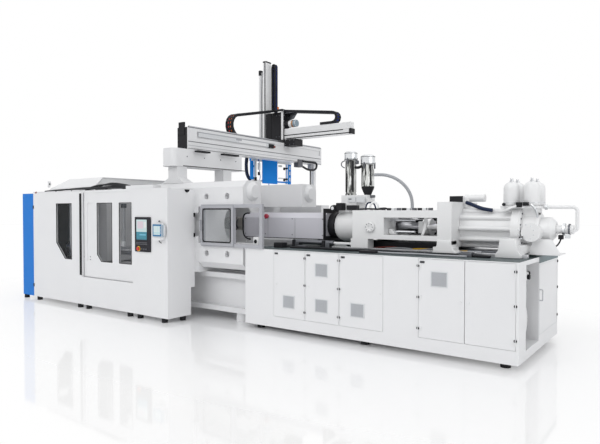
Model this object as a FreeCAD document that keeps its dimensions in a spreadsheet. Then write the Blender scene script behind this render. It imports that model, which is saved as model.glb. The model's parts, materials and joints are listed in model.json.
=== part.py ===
import FreeCAD, Part
import math
import os
import re
import Sketcher
from FreeCAD import Rotation, Vector

# An injection moulding machine with a two-platen clamp, a long injection unit on a
# switchgear base and a linear take-out robot on the fixed platen.
# Millimetres. X runs along the machine towards the drive end, Y away from the operator,
# Z up from the floor. Across-the-machine places are given from the machine's own axis,
# which lies at axis_y because the robot's beam reaches out behind the machine.

doc = FreeCAD.newDocument("InjectionMouldingMachine")
sheet = doc.addObject("Spreadsheet::Sheet", "Sizes")

SIZES = {
    # datums
    "axis_y": -1035, "axis_z": 1730, "face_x": -1760, "skirt_z": 80, "seam": 0.3,
    # guard round the clamp
    "guard_left": -5610, "guard_right": -610, "guard_half": 1730, "guard_top": 2370,
    "panel_wall": 40, "corner_width": 470, "corner_return": 470, "corner_radius": 60,
    "door_left": -3240, "door_right": -1590, "door_sill": 640, "door_gap": 8, "door_wall": 40,
    "door_inset": 5, "track_high": 50, "track_deep": 70, "tongue_wide": 30, "tongue_long": 220,
    "window_low": 975, "window_high": 2140, "pane_wall": 8, "pane_gap": 0.3,
    "side_window_left": -4200, "side_window_right": -3610, "side_window_cut": 330,
    "wide_window_left": -2786, "wide_window_right": -2284, "wide_window_cut": 140,
    "slim_window_left": -2064, "slim_window_right": -1680,
    "grip_left": -3122, "grip_right": -2928, "grip_deep": 12,
    "foot_radius": 55, "foot_inset": 150,
    "wall_notch_half": 1192, "wall_notch_top": 585,
    # roof hood over the moving platen
    "hood_end_gap": 360, "hood_right": -3400, "hood_half": 1330, "hood_top": 2700, "hood_wall": 20,
    "hood_slope": 560, "hood_bevel": 200, "hood_flange": 12,
    # clamp
    "bed_end_gap": 310, "bed_gap": 1080, "bed_width": 360, "bed_base": 160,
    "bed_top": 860, "bed_flange": 90, "bed_web": 120, "cross_wide": 300, "cross_high": 400,
    "pad_radius": 130,
    "platen_half": 1100, "platen_low": 860, "platen_high": 2510, "platen_bevel": 110,
    "fixed_depth": 1250, "front_plate": 420, "bridge_wide": 420,
    "bore_radius": 125, "bore_length": 60, "throat_radius": 420,
    "open_face_x": -3350, "moving_depth": 800, "moving_half": 1075, "moving_low": 900,
    "moving_high": 2490, "shoe_half_long": 300, "rear_pocket": 720, "rear_pocket_deep": 480,
    "tie_radius": 100, "tie_across": 850, "tie_rise": 590, "tie_end_gap": 460, "tie_fit": 0.3,
    "tie_end": 800, "collar_radius": 205, "collar_long": 180, "collar_lug": 70,
    "block_right": 590, "block_inner": 620, "block_low": 260, "block_high": 190, "block_bevel": 110,
    "cap_radius": 170, "lug_half": 35,
    "cap_right": 1060, "low_cap_right": 640, "block_hole": 55, "eye_left": -298, "eye_right": 216,
    "ejector_plate": 600, "ejector_wall": 80, "ejector_rod": 25, "ejector_pitch": 400,
    # operator station
    "station_left": -1497, "station_right": -1056, "station_low": 1237, "station_high": 1869,
    "station_wall": 20, "screen_left": -1450, "screen_right": -1152, "screen_low": 1455,
    "screen_high": 1823, "screen_deep": 4, "stop_x": -1388, "stop_z": 1290, "stop_radius": 32,
    "stop_stem": 11, "stop_travel": 6, "stop_cap": 18,
    "pendant_left": -965, "pendant_right": -630, "pendant_low": 1507, "pendant_high": 1765,
    "pendant_wall": 45, "pendant_bevel": 60, "holder_wall": 25,
    # nozzle guard
    "rail_left": -384, "rail_right": 1058, "rail_low": 1350.3, "rail_high": 2095, "rail_bar": 62,
    "rail_deep": 50, "rail_mid": 395, "gate_wall": 22, "gate_bar": 45, "gate_travel": 560,
    # machine base
    "base_left": 660, "base_right": 5120, "base_half": 1120, "base_corner": 18, "base_top": 1350, "plinth_top": 250,
    "leaf_wall": 30, "leaf_gap": 4, "leaf_low": 262, "leaf_high": 1332, "bay_deep": 320,
    "bay_rim": 40, "knuckle_radius": 7, "knuckle_out": 11, "knuckle_long": 45,
    "bay_wall": 30, "recess_wide": 680, "recess_deep": 420, "recess_low": 200,
    "hinge_first": 364, "hinge_pitch": 425, "key_high": 790, "key_inset": 48, "key_radius": 16,
    "leaf1_left": 1285, "leaf1_right": 1905, "leaf2_left": 1915, "leaf2_right": 2528,
    "leaf3_left": 2548, "leaf3_right": 3270, "leaf4_left": 3812, "leaf4_right": 4445,
    "leaf5_left": 4455, "leaf5_right": 5084,
    "vent_wide": 238, "vent_high": 212, "vent_deep": 6, "vent_lower": 416, "vent_upper": 964,
    "vent1_left": 1472, "vent2_left": 2103, "vent3_left": 2738, "vent4_left": 3988,
    # injection unit
    "slide_across": 450, "slide_wide": 90, "slide_high": 50, "slide_left": 2005,
    "unit_left": 2430, "block_end": 2985, "unit_half": 550, "unit_low": 1545, "unit_high": 1990,
    "beam_wide": 120, "beam_upper": 110, "beam_lower": 70, "pillar_left": 3840,
    "pillar_right": 4055, "pillar_high": 2110, "shoe_left": 2400, "shoe_right": 2705,
    "shoe_wide": 200, "rear_shoe_left": 4740, "rear_shoe_right": 4985, "unit_bore": 150,
    "barrel_radius": 105, "barrel_left": -950, "nozzle_radius": 36, "nozzle_left": -1310,
    "nozzle_long": 260, "barrel_tail": 210, "nozzle_bore": 8,
    "screw_bore": 62, "screw_fit": 0.8, "screw_core": 46, "band_wall": 22, "band_long": 120,
    "band_pitch": 190, "band_first": 130,
    "dome_radius": 265, "ring_left": 1740, "ring_right": 1858, "ring_radius": 225,
    "cover_left": -110, "cover_right": 1730, "cover_half": 300, "cover_low": 1500,
    "cover_high": 1950, "cover_wall": 6, "cover_bevel": 90,
    "core_radius": 245, "rib_radius": 34, "rib_ring": 262, "core_right": 4790,
    "disc_right": 4915, "disc_radius": 318, "gear_right": 5130, "gear_radius": 235,
    "motor_right": 5320, "motor_radius": 165, "neck_right": 5530, "neck_radius": 60,
    "cap_cover_radius": 125, "cap_cover_x": 5055,
    "crosshead_left": 3420, "crosshead_right": 3500, "crosshead_half": 250, "rod_radius": 32,
    "rod_across": 180, "cube_half": 95, "cube_high": 92, "tank_radius": 54, "tank_long": 400,
    "tank_z": 2168, "tank_post": 80, "boss_x": 2750, "boss_radius": 75, "boss_out": 30,
    "ring_eye_radius": 70, "ring_eye_bar": 16, "drive_shaft": 50, "shaft_end": 4300, "rod_end": 4200, "stroke": 280,
    "bottle_radius": 107, "bottle_across": 150, "bottle_first": 4765, "bottle_pitch": 268,
    "bottle_low": 2050, "bottle_high": 2395, "bottle_nub": 25, "manifold_high": 35,
    "return_radius": 24, "return_bend": 60, "return_out": 42,
    # material feed
    "throat_x": 2070, "feed_pitch": 330, "feed_low": 1995, "feed_mid": 2110, "feed_high": 2245,
    "tall_radius": 88, "tall_cap": 108, "tall_cap_long": 140, "tall_cap_low": 2850,
    "short_radius": 105, "short_cap": 120, "short_cap_long": 152, "short_cap_low": 2760,
    "short_low": 2390, "hose_radius": 27, "hose_z": 2580, "hose_run": 127, "hose_stub": 20,
    # traction cylinders of the injection unit
    "pull_radius": 42, "pull_rod": 20, "pull_across": 400, "pull_z": 1448, "pull_left": 1150,
    "pull_right": 1990, "unit_travel": 380,
    # robot
    "beam_left": -1455, "beam_right": -1170, "beam_high": 3620, "beam_front": -760,
    "beam_back": 3890, "channel_front": -500, "channel_low": 3420, "channel_high": 3550,
    "channel_deep": 30, "stop_block": 100, "stop_wide": 160, "track_rail": 35, "track_rail_high": 30,
    "post_end_gap": 100, "post_side": 95, "post_x": -1355, "tray_wall": 8, "tray_front": 600,
    "outlet_gap": 390, "outlet_side": 100, "outlet_high": 140,
    "console_low": 2840, "console_high": 3190, "console_left": -1540, "console_front": -1100, "console_back": 860,
    "console_radius": 100, "leg_front": -1000, "leg_back": 250, "leg_wide": 250,
    "leg_left": -1450, "leg_right": -1190, "leg_flare": 170, "leg_foot": 110,
    "robot_across": 2450, "saddle_left": -1440, "saddle_right": -840, "saddle_half": 150,
    "saddle_high": 3690, "skirt_low": 3530, "portal_wall": 66, "portal_half": 115,
    "portal_high": 4430, "servo_radius": 85, "servo_right": -900, "servo_z": 4075,
    "strip_left": -1290, "strip_right": 630, "strip_half": 75, "strip_high": 3957,
    "strip_groove": 24, "holder_half": 100, "holder_high": 4370,
    "arm_left": -1870, "arm_right": -1780, "arm_low": 3400, "arm_high": 5670, "slim_left": -2050,
    "slim_right": -2000, "link_high": 90,
    "slim_low": 3450, "slim_high": 5490, "slim_half": 45, "arm_rail": 34, "arm_rail_out": 14,
    "wrist_x": -1825, "wrist_z": 3330, "wrist_radius": 45, "wrist_pin": 20, "wrist_cheek": 25,
    # gripper
    "spine_high": 3250, "spine_side": 60, "gripper_front": 1819, "gripper_back": 3418,
    "gripper_low": 2660, "slat_wide": 110, "slat_wall": 26, "face_front": 2223, "face_back": 2810,
    "face_wall": 12, "strut_side": 40, "strut_inset": 170, "cup_radius": 26, "cup_long": 65,
    "foot_low": 2425, "foot_wall": 12, "conduit_radius": 34, "conduit_reach": 125, "conduit_rise": 150,
    "joint_box": 70, "joint_box_at": 290,
    # energy chains
    "chain_deep": 52, "chain_step": 7, "long_pitch": 92, "short_pitch": 66,
    "long_wide": 200, "long_bend": 250, "long_turn": 1071, "long_anchor": 1750,
    "short_wide": 170, "short_bend": 120, "short_turn": 145, "short_anchor": -180,
    "arm_wide": 90, "arm_chain_gap": 75, "arm_bend": 45, "arm_turn": 5563, "arm_anchor": 4500,
    # cabinet behind the nozzle
    "rear_cab_right": 480, "rear_cab_deep": 300, "rear_cab_proud": 20, "rear_cab_high": 2100,
    "socket_x": -50, "socket_inset": 100, "socket_side": 60, "socket_high": 100, "cable_radius": 15,
    # travels
    "door_travel": 1500,
}

for row, (alias, number) in enumerate(SIZES.items(), start=1):
    sheet.set(f"A{row}", alias)
    sheet.set(f"B{row}", str(number))
    sheet.setAlias(f"B{row}", alias)
doc.recompute()


# Places that follow from the sizes.
PLACES = {
    "bed_left": "guard_left + bed_end_gap",
    "hood_left": "guard_left + hood_end_gap",
    "tie_left": "guard_left + tie_end_gap",
    "recess_front": "-base_half + bay_deep + bay_wall",
    "recess_back": "recess_front + recess_wide",
    "tall_high": "tall_cap_low + tall_cap_long",
    "short_high": "short_cap_low + short_cap_long",
    "post_across": "beam_back - post_end_gap",
    "holder_left": "arm_right + seam",
    "arm_chain_x": "arm_right + arm_chain_gap",
    "long_x": "beam_left - long_wide / 2 - 5",
    "rear_cab_back": "guard_half + rear_cab_proud",
    "rear_cab_front": "rear_cab_back - rear_cab_deep",
}
for row, (alias, total) in enumerate(PLACES.items(), start=len(SIZES) + 1):
    sheet.set(f"A{row}", alias)
    sheet.set(f"B{row}", f"={total}")
    sheet.setAlias(f"B{row}", alias)
doc.recompute()
NAMES = {*SIZES, *PLACES}


def formula(text):
    """The same sum with every size read from the sheet."""
    return re.sub(r"[a-z][a-z0-9_]*", lambda m: f"Sizes.{m[0]}" if m[0] in NAMES else m[0], str(text))


def size(alias):
    """The number in one cell of the sheet."""
    return float(sheet.get(alias))


def place(thing, x, across, z):
    """Bind where a thing stands; across is measured from the machine's axis."""
    thing.setExpression("Placement.Base.x", formula(x))
    thing.setExpression("Placement.Base.y", formula(f"axis_y + ({across})"))
    thing.setExpression("Placement.Base.z", formula(z))
    return thing


def box(x, across, z):
    """A block between two places along each direction."""
    block = doc.addObject("Part::Box", "Block")
    for side, (low, high) in zip(("Length", "Width", "Height"), (x, across, z)):
        block.setExpression(side, formula(f"({high}) - ({low})"))
    return place(block, x[0], across[0], z[0])


TURN = {"X": Rotation(Vector(0, 1, 0), 90), "Y": Rotation(Vector(1, 0, 0), -90), "Z": Rotation()}


def rod(along, start, radius, long):
    """A cylinder that starts at a place and runs along a direction."""
    bar = doc.addObject("Part::Cylinder", "Rod")
    bar.setExpression("Radius", formula(radius))
    bar.setExpression("Height", formula(long))
    bar.Placement.Rotation = TURN[along]
    return place(bar, *start)


def cone(along, start, radius, end_radius, long):
    """A cone that starts at a place and runs along a direction."""
    taper = doc.addObject("Part::Cone", "Taper")
    taper.setExpression("Radius1", formula(radius))
    taper.setExpression("Radius2", formula(end_radius))
    taper.setExpression("Height", formula(long))
    taper.Placement.Rotation = TURN[along]
    return place(taper, *start)


def fuse(*pieces):
    """One solid from pieces that touch or overlap."""
    whole = doc.addObject("Part::MultiFuse", "Joined")
    whole.Shapes = list(pieces)
    whole.Refine = True
    return whole


def cut(base, *tools):
    """A base with tools taken out of it."""
    result = doc.addObject("Part::Cut", "Shaped")
    result.Base = base
    result.Tool = tools[0] if len(tools) == 1 else fuse(*tools)
    result.Refine = True
    return result


def group(*pieces):
    """Separate solids that share one node."""
    several = doc.addObject("Part::Compound", "Several")
    several.Links = list(pieces)
    return several


def bind(sketch, constraint, text):
    """Add a dimension to a sketch and bind it to a sum of sizes."""
    spot = sketch.addConstraint(constraint)
    sketch.renameConstraint(spot, f"Size{spot}")
    sketch.setExpression(f"Constraints.Size{spot}", formula(text))


def closed_line(sketch, corners):
    """Draw a closed line of straight runs through corners that are sums of sizes."""
    first, count = sketch.GeometryCount, len(corners)
    rough = [Vector(math.cos(turn), math.sin(turn), 0) * 100
             for turn in (2 * math.pi * step / count for step in range(count + 1))]
    for start, end in zip(rough, rough[1:]):
        sketch.addGeometry(Part.LineSegment(start, end), False)
    for step in range(count):
        follower = first + (step + 1) % count
        sketch.addConstraint(Sketcher.Constraint("Coincident", first + step, 2, follower, 1))
    for step, (u, v) in enumerate(corners):
        line = first + step
        bind(sketch, Sketcher.Constraint("DistanceX", -1, 1, line, 1, rough[step].x), u)
        bind(sketch, Sketcher.Constraint("DistanceY", -1, 1, line, 1, rough[step].y), v)


def circle(sketch, u, v, radius):
    """Draw a circle whose centre and radius are sums of sizes."""
    ring = sketch.addGeometry(Part.Circle(Vector(50, 50, 0), Vector(0, 0, 1), 20), False)
    bind(sketch, Sketcher.Constraint("DistanceX", -1, 1, ring, 3, 50), u)
    bind(sketch, Sketcher.Constraint("DistanceY", -1, 1, ring, 3, 50), v)
    bind(sketch, Sketcher.Constraint("Radius", ring, 20), radius)


def sketch_on(body, role):
    """A new sketch on one of the body's own origin planes."""
    drawing = body.newObject("Sketcher::SketchObject", "Outline")
    plane = next(item for item in body.Origin.OriginFeatures if item.Role == role)
    drawing.AttachmentSupport = [(plane, "")]
    drawing.MapMode = "FlatFace"
    return drawing


def plate(plane, span, outline, holes=(), bores=()):
    """A piece of one outline and even thickness. The plane is XY, XZ or YZ; the span runs
    square to it, and holes and bores go right through."""
    body = doc.addObject("PartDesign::Body", "Plate")
    drawing = sketch_on(body, f"{plane}_Plane")
    for corners in (outline, *holes):
        closed_line(drawing, corners)
    for centre in bores:
        circle(drawing, *centre)
    pad = body.newObject("PartDesign::Pad", "Thickness")
    pad.Profile = drawing
    pad.setExpression("Length", formula(f"({span[1]}) - ({span[0]})"))
    start = {"XY": ("0", "0", span[0]), "XZ": ("0", span[1], "0"), "YZ": (span[0], "0", "0")}
    return place(body, *start[plane])


def oblong(low, high):
    """The four corners of an upright rectangle."""
    return [(low[0], low[1]), (high[0], low[1]), (high[0], high[1]), (low[0], high[1])]


def turned(outline, across="0", z="axis_z"):
    """A piece turned about a line along X, from corners of distance along X and radius."""
    body = doc.addObject("PartDesign::Body", "Turned")
    drawing = sketch_on(body, "XZ_Plane")
    closed_line(drawing, outline)
    sweep = body.newObject("PartDesign::Revolution", "Turn")
    sweep.Profile = drawing
    sweep.ReferenceAxis = (drawing, ["H_Axis"])
    sweep.Angle = 360
    return place(body, "0", across, z)


def soften(body, radius, pick, kind="Fillet"):
    """Round or chamfer the edges of a body that pick chooses."""
    doc.recompute()
    plain = body.Tip
    edges = [f"Edge{n}" for n, edge in enumerate(plain.Shape.Edges, start=1) if pick(edge)]
    finish = body.newObject(f"PartDesign::{kind}", kind)
    finish.Base = (plain, edges)
    finish.setExpression("Radius" if kind == "Fillet" else "Size", formula(radius))
    body.Tip = finish
    return body


def runs_along(edge, axis):
    """Whether a straight edge lies along X, Y or Z."""
    if not isinstance(edge.Curve, Part.Line):
        return False
    return abs(getattr(edge.Curve.Direction, axis.lower())) > 0.999


NODES = []


def node(name, thing):
    """Keep a finished sub-part under the name of its file."""
    thing.Label = name
    NODES.append(thing)
    return thing


SIDES = {"front": -1, "rear": 1}


def beyond(side, low, high):
    """A span across the machine, mirrored to the rear for the side +1."""
    return (low, high) if side < 0 else (f"-({high})", f"-({low})")


# ---- the guard round the clamp --------------------------------------------------------

def feet(places):
    """Levelling feet under a panel, at places along and across the machine."""
    return [rod("Z", (x, across, "0"), "foot_radius", "skirt_z") for x, across in places]


def fixed_panel(side, left, right, low="skirt_z", high="guard_top", holes=(), footed=True):
    """A flat panel of the guard, flush with its outer face."""
    span = beyond(side, "-guard_half", "-guard_half + panel_wall")
    panel = plate("XZ", span, oblong((left, low), (right, high)), holes)
    if not footed:
        return panel
    middle = f"{side} * (guard_half - foot_radius)"
    places = [(f"({left}) + foot_inset", middle), (f"({right}) - foot_inset", middle)]
    return fuse(panel, *feet(places))


def side_window():
    """The window beside the door, its lower corner cut off."""
    return [("side_window_left", "window_low + side_window_cut"),
            ("side_window_left + side_window_cut", "window_low"),
            ("side_window_right", "window_low"), ("side_window_right", "window_high"),
            ("side_window_left", "window_high")]


def door_windows():
    """The wide and the slim window of the sliding door."""
    wide = [("wide_window_left", "window_low + wide_window_cut"),
            ("wide_window_left + wide_window_cut", "window_low"),
            ("wide_window_right", "window_low"), ("wide_window_right", "window_high"),
            ("wide_window_left", "window_high")]
    slim = oblong(("slim_window_left", "window_low"), ("slim_window_right", "window_high"))
    return [wide, slim]


def shrunk(corners, gap):
    """The corners of a window's pane: each drawn in by the gap towards the window's middle."""
    inner = []
    for x, z in corners:
        x_sign = "+" if "left" in x else "-"
        z_sign = "+" if "low" in z else "-"
        inner.append((f"{x} {x_sign} {gap}", f"{z} {z_sign} {gap}"))
    return inner


def sliding_door(side):
    """A sliding door with its two windows, a grip recess and tongues that run in the track."""
    outer = "-guard_half + panel_wall + door_inset"
    span = beyond(side, outer, f"{outer} + door_wall")
    holes = door_windows() if side < 0 else ()
    left, right = "door_left + door_gap", "door_right - door_gap"
    low, high = "door_sill + door_gap", "guard_top - track_high / 2"
    leaf = plate("XZ", span, oblong((left, low), (right, high)), holes)
    recess = box(("grip_left", "grip_right"), beyond(side, f"{outer} - 1", f"{outer} + grip_deep"),
                 ("window_low", "window_high"))
    middle = f"{outer} + door_wall / 2"
    groove = beyond(side, f"{middle} - tongue_wide / 2", f"{middle} + tongue_wide / 2")
    tongues = [box((start, f"{start} + tongue_long"), groove, (f"{high} - 5", f"{high} + 15"))
               for start in (f"{left} + foot_inset", f"{right} - foot_inset - tongue_long")]
    return fuse(cut(leaf, recess), *tongues)


def door_track(side):
    """The rail over a sliding door, grooved underneath for its tongues."""
    outer = "-guard_half + panel_wall + seam"
    rail = box(("guard_left + corner_width", "guard_right - panel_wall"),
               beyond(side, outer, f"{outer} + track_deep"),
               ("guard_top - track_high / 2 + seam", "guard_top + track_high / 2"))
    middle = "-guard_half + panel_wall + door_inset + door_wall / 2"
    groove = box(("door_left - door_travel - 200", "door_right + 1"),
                 beyond(side, f"{middle} - tongue_wide / 2 - 0.5", f"{middle} + tongue_wide / 2 + 0.5"),
                 ("guard_top - track_high", "guard_top - track_high / 2 + 15.3"))
    return cut(rail, groove)


def guard_panels():
    side = SIDES["front"]
    window = side_window()
    inner = beyond(side, "-guard_half + panel_wall / 2", "-guard_half + panel_wall / 2 + pane_wall")
    node("side_window_pane", plate("XZ", inner, shrunk(window, "pane_gap")))
    holder = box(("pendant_left + 60", "pendant_right - 60"),
                 ("-guard_half - holder_wall", "-guard_half + 1"),
                 ("pendant_low - 40", "pendant_high - 60"))
    lip = box(("pendant_left + 60", "pendant_right - 60"),
              ("-guard_half - holder_wall - pendant_wall - 20", "-guard_half"),
              ("pendant_low - 40", "pendant_low - 0.3"))
    panel = cut(fixed_panel(side, "door_right", "guard_right"),
                rod("Y", ("stop_x", "-guard_half - 1", "stop_z"), "stop_stem + 0.5", "panel_wall + 2"))
    node("front_panels", group(
        fixed_panel(side, "guard_left + corner_width + seam", "door_left", holes=[window]),
        fixed_panel(side, "door_left + seam", "door_right - seam", high="door_sill"),
        fuse(panel, holder, lip)))
    node("front_door", sliding_door(side))
    door_mid = "-guard_half + panel_wall + door_inset + door_wall / 2"
    span = (door_mid, f"{door_mid} + pane_wall")
    node("front_door_panes", group(*(plate("XZ", span, shrunk(hole, "pane_gap"))
                                     for hole in door_windows())))
    node("rear_door", sliding_door(SIDES["rear"]))
    rear = SIDES["rear"]
    node("rear_panels", group(
        fixed_panel(rear, "guard_left + panel_wall + seam", "door_left"),
        fixed_panel(rear, "door_left + seam", "door_right - seam", high="door_sill"),
        fixed_panel(rear, "door_right", "guard_right")))
    node("door_tracks", group(*(door_track(side) for side in SIDES.values())))
    corner = plate("XY", ("skirt_z", "guard_top"), [
        ("guard_left", "-guard_half"), ("guard_left + corner_width", "-guard_half"),
        ("guard_left + corner_width", "-guard_half + panel_wall"),
        ("guard_left + panel_wall", "-guard_half + panel_wall"),
        ("guard_left + panel_wall", "-guard_half + corner_return"),
        ("guard_left", "-guard_half + corner_return")])
    middle = ("guard_left + foot_radius", "-guard_half + foot_radius")
    node("corner_panel", fuse(corner, *feet([middle])))
    left_wall = box(("guard_left", "guard_left + panel_wall"),
                    ("-guard_half + corner_return + seam", "guard_half"), ("skirt_z", "guard_top"))
    left_feet = feet([("guard_left + foot_radius", "guard_half - foot_inset")])
    ends = [fuse(left_wall, *left_feet)]
    for side in SIDES.values():
        outline = [(f"{side} * (guard_half - panel_wall - seam)", "skirt_z"),
                   (f"{side} * (guard_half - panel_wall - seam)", "guard_top"),
                   (f"{side} * (platen_half + seam)", "guard_top"), (f"{side} * (platen_half + seam)", "wall_notch_top"),
                   (f"{side} * wall_notch_half", "wall_notch_top"),
                   (f"{side} * wall_notch_half", "skirt_z")]
        wall = plate("YZ", ("guard_right - panel_wall", "guard_right"), outline)
        places = [("guard_right - foot_radius", f"{side} * (wall_notch_half + foot_inset)")]
        ends.append(fuse(wall, *feet(places)))
    node("end_panels", group(*ends))


def roof_hood():
    """A folded hood over the moving platen: sloped at the far end, open towards the mould, with
    a flange on both tracks."""
    rim = "guard_top + track_high / 2 + seam"

    def shell(wall, right):
        outline = [(f"hood_left + {wall}", rim), (f"hood_left + {wall}", f"{rim} + 40"),
                   (f"hood_left + hood_slope + {wall} / 2", f"hood_top - {wall}"),
                   (right, f"hood_top - {wall}"), (right, rim)]
        body = plate("XZ", (f"-hood_half + {wall}", f"hood_half - {wall}"), outline)
        top = size("hood_top") - (0 if wall == "0" else size(wall))

        def long_top_edge(edge):
            return runs_along(edge, "X") and abs(edge.CenterOfMass.z - top) < 1

        return soften(body, "hood_bevel", long_top_edge, "Chamfer")

    flange = box(("hood_left", "hood_right"),
                 ("-guard_half + panel_wall + 10", "guard_half - panel_wall - 10"),
                 (rim, f"{rim} + hood_flange"))
    return cut(fuse(shell("0", "hood_right"), flange), shell("hood_wall", "hood_right + 1"))


guard_panels()
node("roof_hood", roof_hood())


# ---- the clamp ------------------------------------------------------------------------

def clamp_bed():
    """Two flanged beams tied by cross-members, on round pads."""
    pieces = []
    for side in SIDES.values():
        inner, outer = "bed_gap / 2", "bed_gap / 2 + bed_width"
        web_in, web_out = "bed_gap / 2 + bed_web", "bed_gap / 2 + bed_width - bed_web"
        low, high = "bed_base", "bed_top"
        corners = [(inner, low), (outer, low), (outer, f"{low} + bed_flange"),
                   (web_out, f"{low} + bed_flange"), (web_out, f"{high} - bed_flange"),
                   (outer, f"{high} - bed_flange"), (outer, high), (inner, high),
                   (inner, f"{high} - bed_flange"), (web_in, f"{high} - bed_flange"),
                   (web_in, f"{low} + bed_flange"), (inner, f"{low} + bed_flange")]
        outline = [(f"{side} * ({u})", v) for u, v in corners]
        pieces.append(plate("YZ", ("bed_left", "base_left - seam"), outline))
        for x in ("bed_left + 300", "face_x - 1800", "face_x + 200", "base_left - 400"):
            middle = f"{side} * (bed_gap + bed_width) / 2"
            pieces.append(rod("Z", (x, middle, "0"), "pad_radius", "bed_base"))
    for x in ("bed_left + 150", "base_left - 300 - cross_wide"):
        pieces.append(box((x, f"{x} + cross_wide"), ("-bed_gap / 2 - bed_web", "bed_gap / 2 + bed_web"),
                          ("bed_base + bed_flange", "bed_base + bed_flange + cross_high")))
    return fuse(*pieces)


def tie_places():
    """Across and height of the four tie bars."""
    return [(f"{across} * tie_across", f"axis_z + {rise} * tie_rise")
            for rise in (1, -1) for across in (-1, 1)]


def tie_bores(left, right):
    """Running bores for the tie bars between two places along the machine."""
    return [rod("X", (left, across, z), "tie_radius + tie_fit", f"({right}) - ({left})")
            for across, z in tie_places()]


def fixed_platen():
    """A deep casting: bevelled outline, bores for the tie bars, a locating bore in the mould
    face that opens into a wide throat for the nozzle, and a flared rear."""
    half, low, high, bevel = "platen_half", "platen_low", "platen_high", "platen_bevel"
    outline = [(f"-{half}", low), (half, low), (half, f"{high} - {bevel}"),
               (f"{half} - {bevel}", high), (f"-{half} + {bevel}", high),
               (f"-{half}", f"{high} - {bevel}")]
    body = plate("YZ", ("face_x", "face_x + fixed_depth"), outline)
    front = "face_x + front_plate"
    locating = rod("X", ("face_x - 1", "0", "axis_z"), "bore_radius", "bore_length + 1")
    throat = cone("X", ("face_x + bore_length", "0", "axis_z"), "bore_radius - 15", "throat_radius",
                  "fixed_depth - bore_length + 1")
    waists = [box((front, "face_x + fixed_depth + 1"),
                  (f"{side} * {half} - 120", f"{side} * {half} + 120"),
                  ("axis_z - bridge_wide / 2", "axis_z + bridge_wide / 2"))
              for side in SIDES.values()]
    return cut(body, locating, throat, *waists, *tie_bores("face_x - 1", "face_x + fixed_depth + 1"))


def moving_platen():
    """The sliding platen, open at the back for the ejector, on shoes that run on the bed."""
    left, right = "open_face_x - moving_depth", "open_face_x"
    half, low, high, bevel = "moving_half", "moving_low", "moving_high", "platen_bevel"
    outline = [(f"-{half}", low), (half, low), (half, f"{high} - {bevel}"),
               (f"{half} - {bevel}", high), (f"-{half} + {bevel}", high),
               (f"-{half}", f"{high} - {bevel}")]
    body = plate("YZ", (left, right), outline)
    pocket = box((f"{left} - 1", f"{left} + rear_pocket_deep"), ("-rear_pocket / 2", "rear_pocket / 2"),
                 ("axis_z - rear_pocket / 2", "axis_z + rear_pocket / 2"))
    rods = [rod("X", (left, f"{across} * ejector_pitch / 2", f"axis_z + {rise} * ejector_pitch / 2"),
                "ejector_rod + 0.5", "moving_depth + 1") for across in (-1, 1) for rise in (-1, 1)]
    hole = rod("X", (f"{left} + rear_pocket_deep - 1", "0", "axis_z"), "bore_radius",
               "moving_depth - rear_pocket_deep + 2")
    shoes = [box((f"(open_face_x - moving_depth / 2) - shoe_half_long",
                  f"(open_face_x - moving_depth / 2) + shoe_half_long"),
                 (f"{side} * (bed_gap + bed_width) / 2 - 140", f"{side} * (bed_gap + bed_width) / 2 + 140"),
                 ("bed_top + 0.3", f"{low} + 5")) for side in SIDES.values()]
    return cut(fuse(body, *shoes), pocket, hole, *rods, *tie_bores(f"{left} - 1", f"{right} + 1"))


def ejector():
    """The ejector plate with four rods that run through the moving platen."""
    right = "open_face_x - moving_depth + rear_pocket_deep - 260"
    half = "ejector_plate / 2"
    face = plate("YZ", (f"{right} - ejector_wall", right),
                 oblong((f"-{half}", f"axis_z - {half}"), (half, f"axis_z + {half}")))
    rods = [rod("X", (f"{right} - 5", f"{across} * ejector_pitch / 2", f"axis_z + {rise} * ejector_pitch / 2"),
                "ejector_rod", f"open_face_x - 2 - ({right}) + 5")
            for across in (-1, 1) for rise in (-1, 1)]
    boss = rod("X", (f"{right} - ejector_wall - 60", "0", "axis_z"), "90", "65")
    return fuse(face, boss, *rods)


def lock_collar(across, z):
    """A bayonet collar that grips a tie bar behind the moving platen."""
    left = "open_face_x - moving_depth - collar_long"
    ring = rod("X", (left, across, z), "collar_radius", "collar_long - 0.3")
    lug = box((left, f"{left} + collar_long / 2"), (f"({across}) - lug_half", f"({across}) + lug_half"),
              (f"({z}) + collar_radius - 10", f"({z}) + collar_radius + collar_lug"))
    bore = rod("X", (f"{left} - 1", across, z), "tie_radius + tie_fit", "collar_long + 2")
    return cut(fuse(ring, lug), bore)


def clamp_cylinder(across_sign, rise_sign):
    """The casting behind the fixed platen that holds a tie bar's end, with its round cap."""
    across, z = f"{across_sign} * tie_across", f"axis_z + {rise_sign} * tie_rise"
    left = "face_x + fixed_depth + 0.3"
    sign = f"{across_sign}"
    cap_end = "cap_right" if rise_sign > 0 else "low_cap_right"
    dish = "60" if rise_sign > 0 else "20"
    top = f"axis_z + {rise_sign} * (tie_rise + block_high)"
    bottom = f"axis_z + {rise_sign} * (tie_rise - block_low)"
    bevel = f"{rise_sign} * block_bevel"
    outline = [(f"{sign} * block_inner", bottom), (f"{sign} * platen_half", bottom),
               (f"{sign} * platen_half", f"{top} - {bevel}"),
               (f"{sign} * (platen_half - block_bevel)", top), (f"{sign} * block_inner", top)]
    block = plate("YZ", (left, "block_right"), outline)
    cap = turned([("block_right - 5", "0"), ("block_right - 5", "cap_radius"),
                  (f"{cap_end} - {dish}", "cap_radius"), (cap_end, f"cap_radius - {dish}"),
                  (cap_end, "0")], across, z)
    socket = rod("X", (f"{left} - 1", across, z), "tie_radius + tie_fit", "tie_end + 2")
    eyes = [rod("Y", (x, f"{sign} * (platen_half - 40) - 45", f"axis_z + {rise_sign} * (tie_rise - 80)"),
                "block_hole", "90") for x in ("eye_left", "eye_right")]
    return cut(fuse(block, cap), socket, *eyes)


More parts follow.
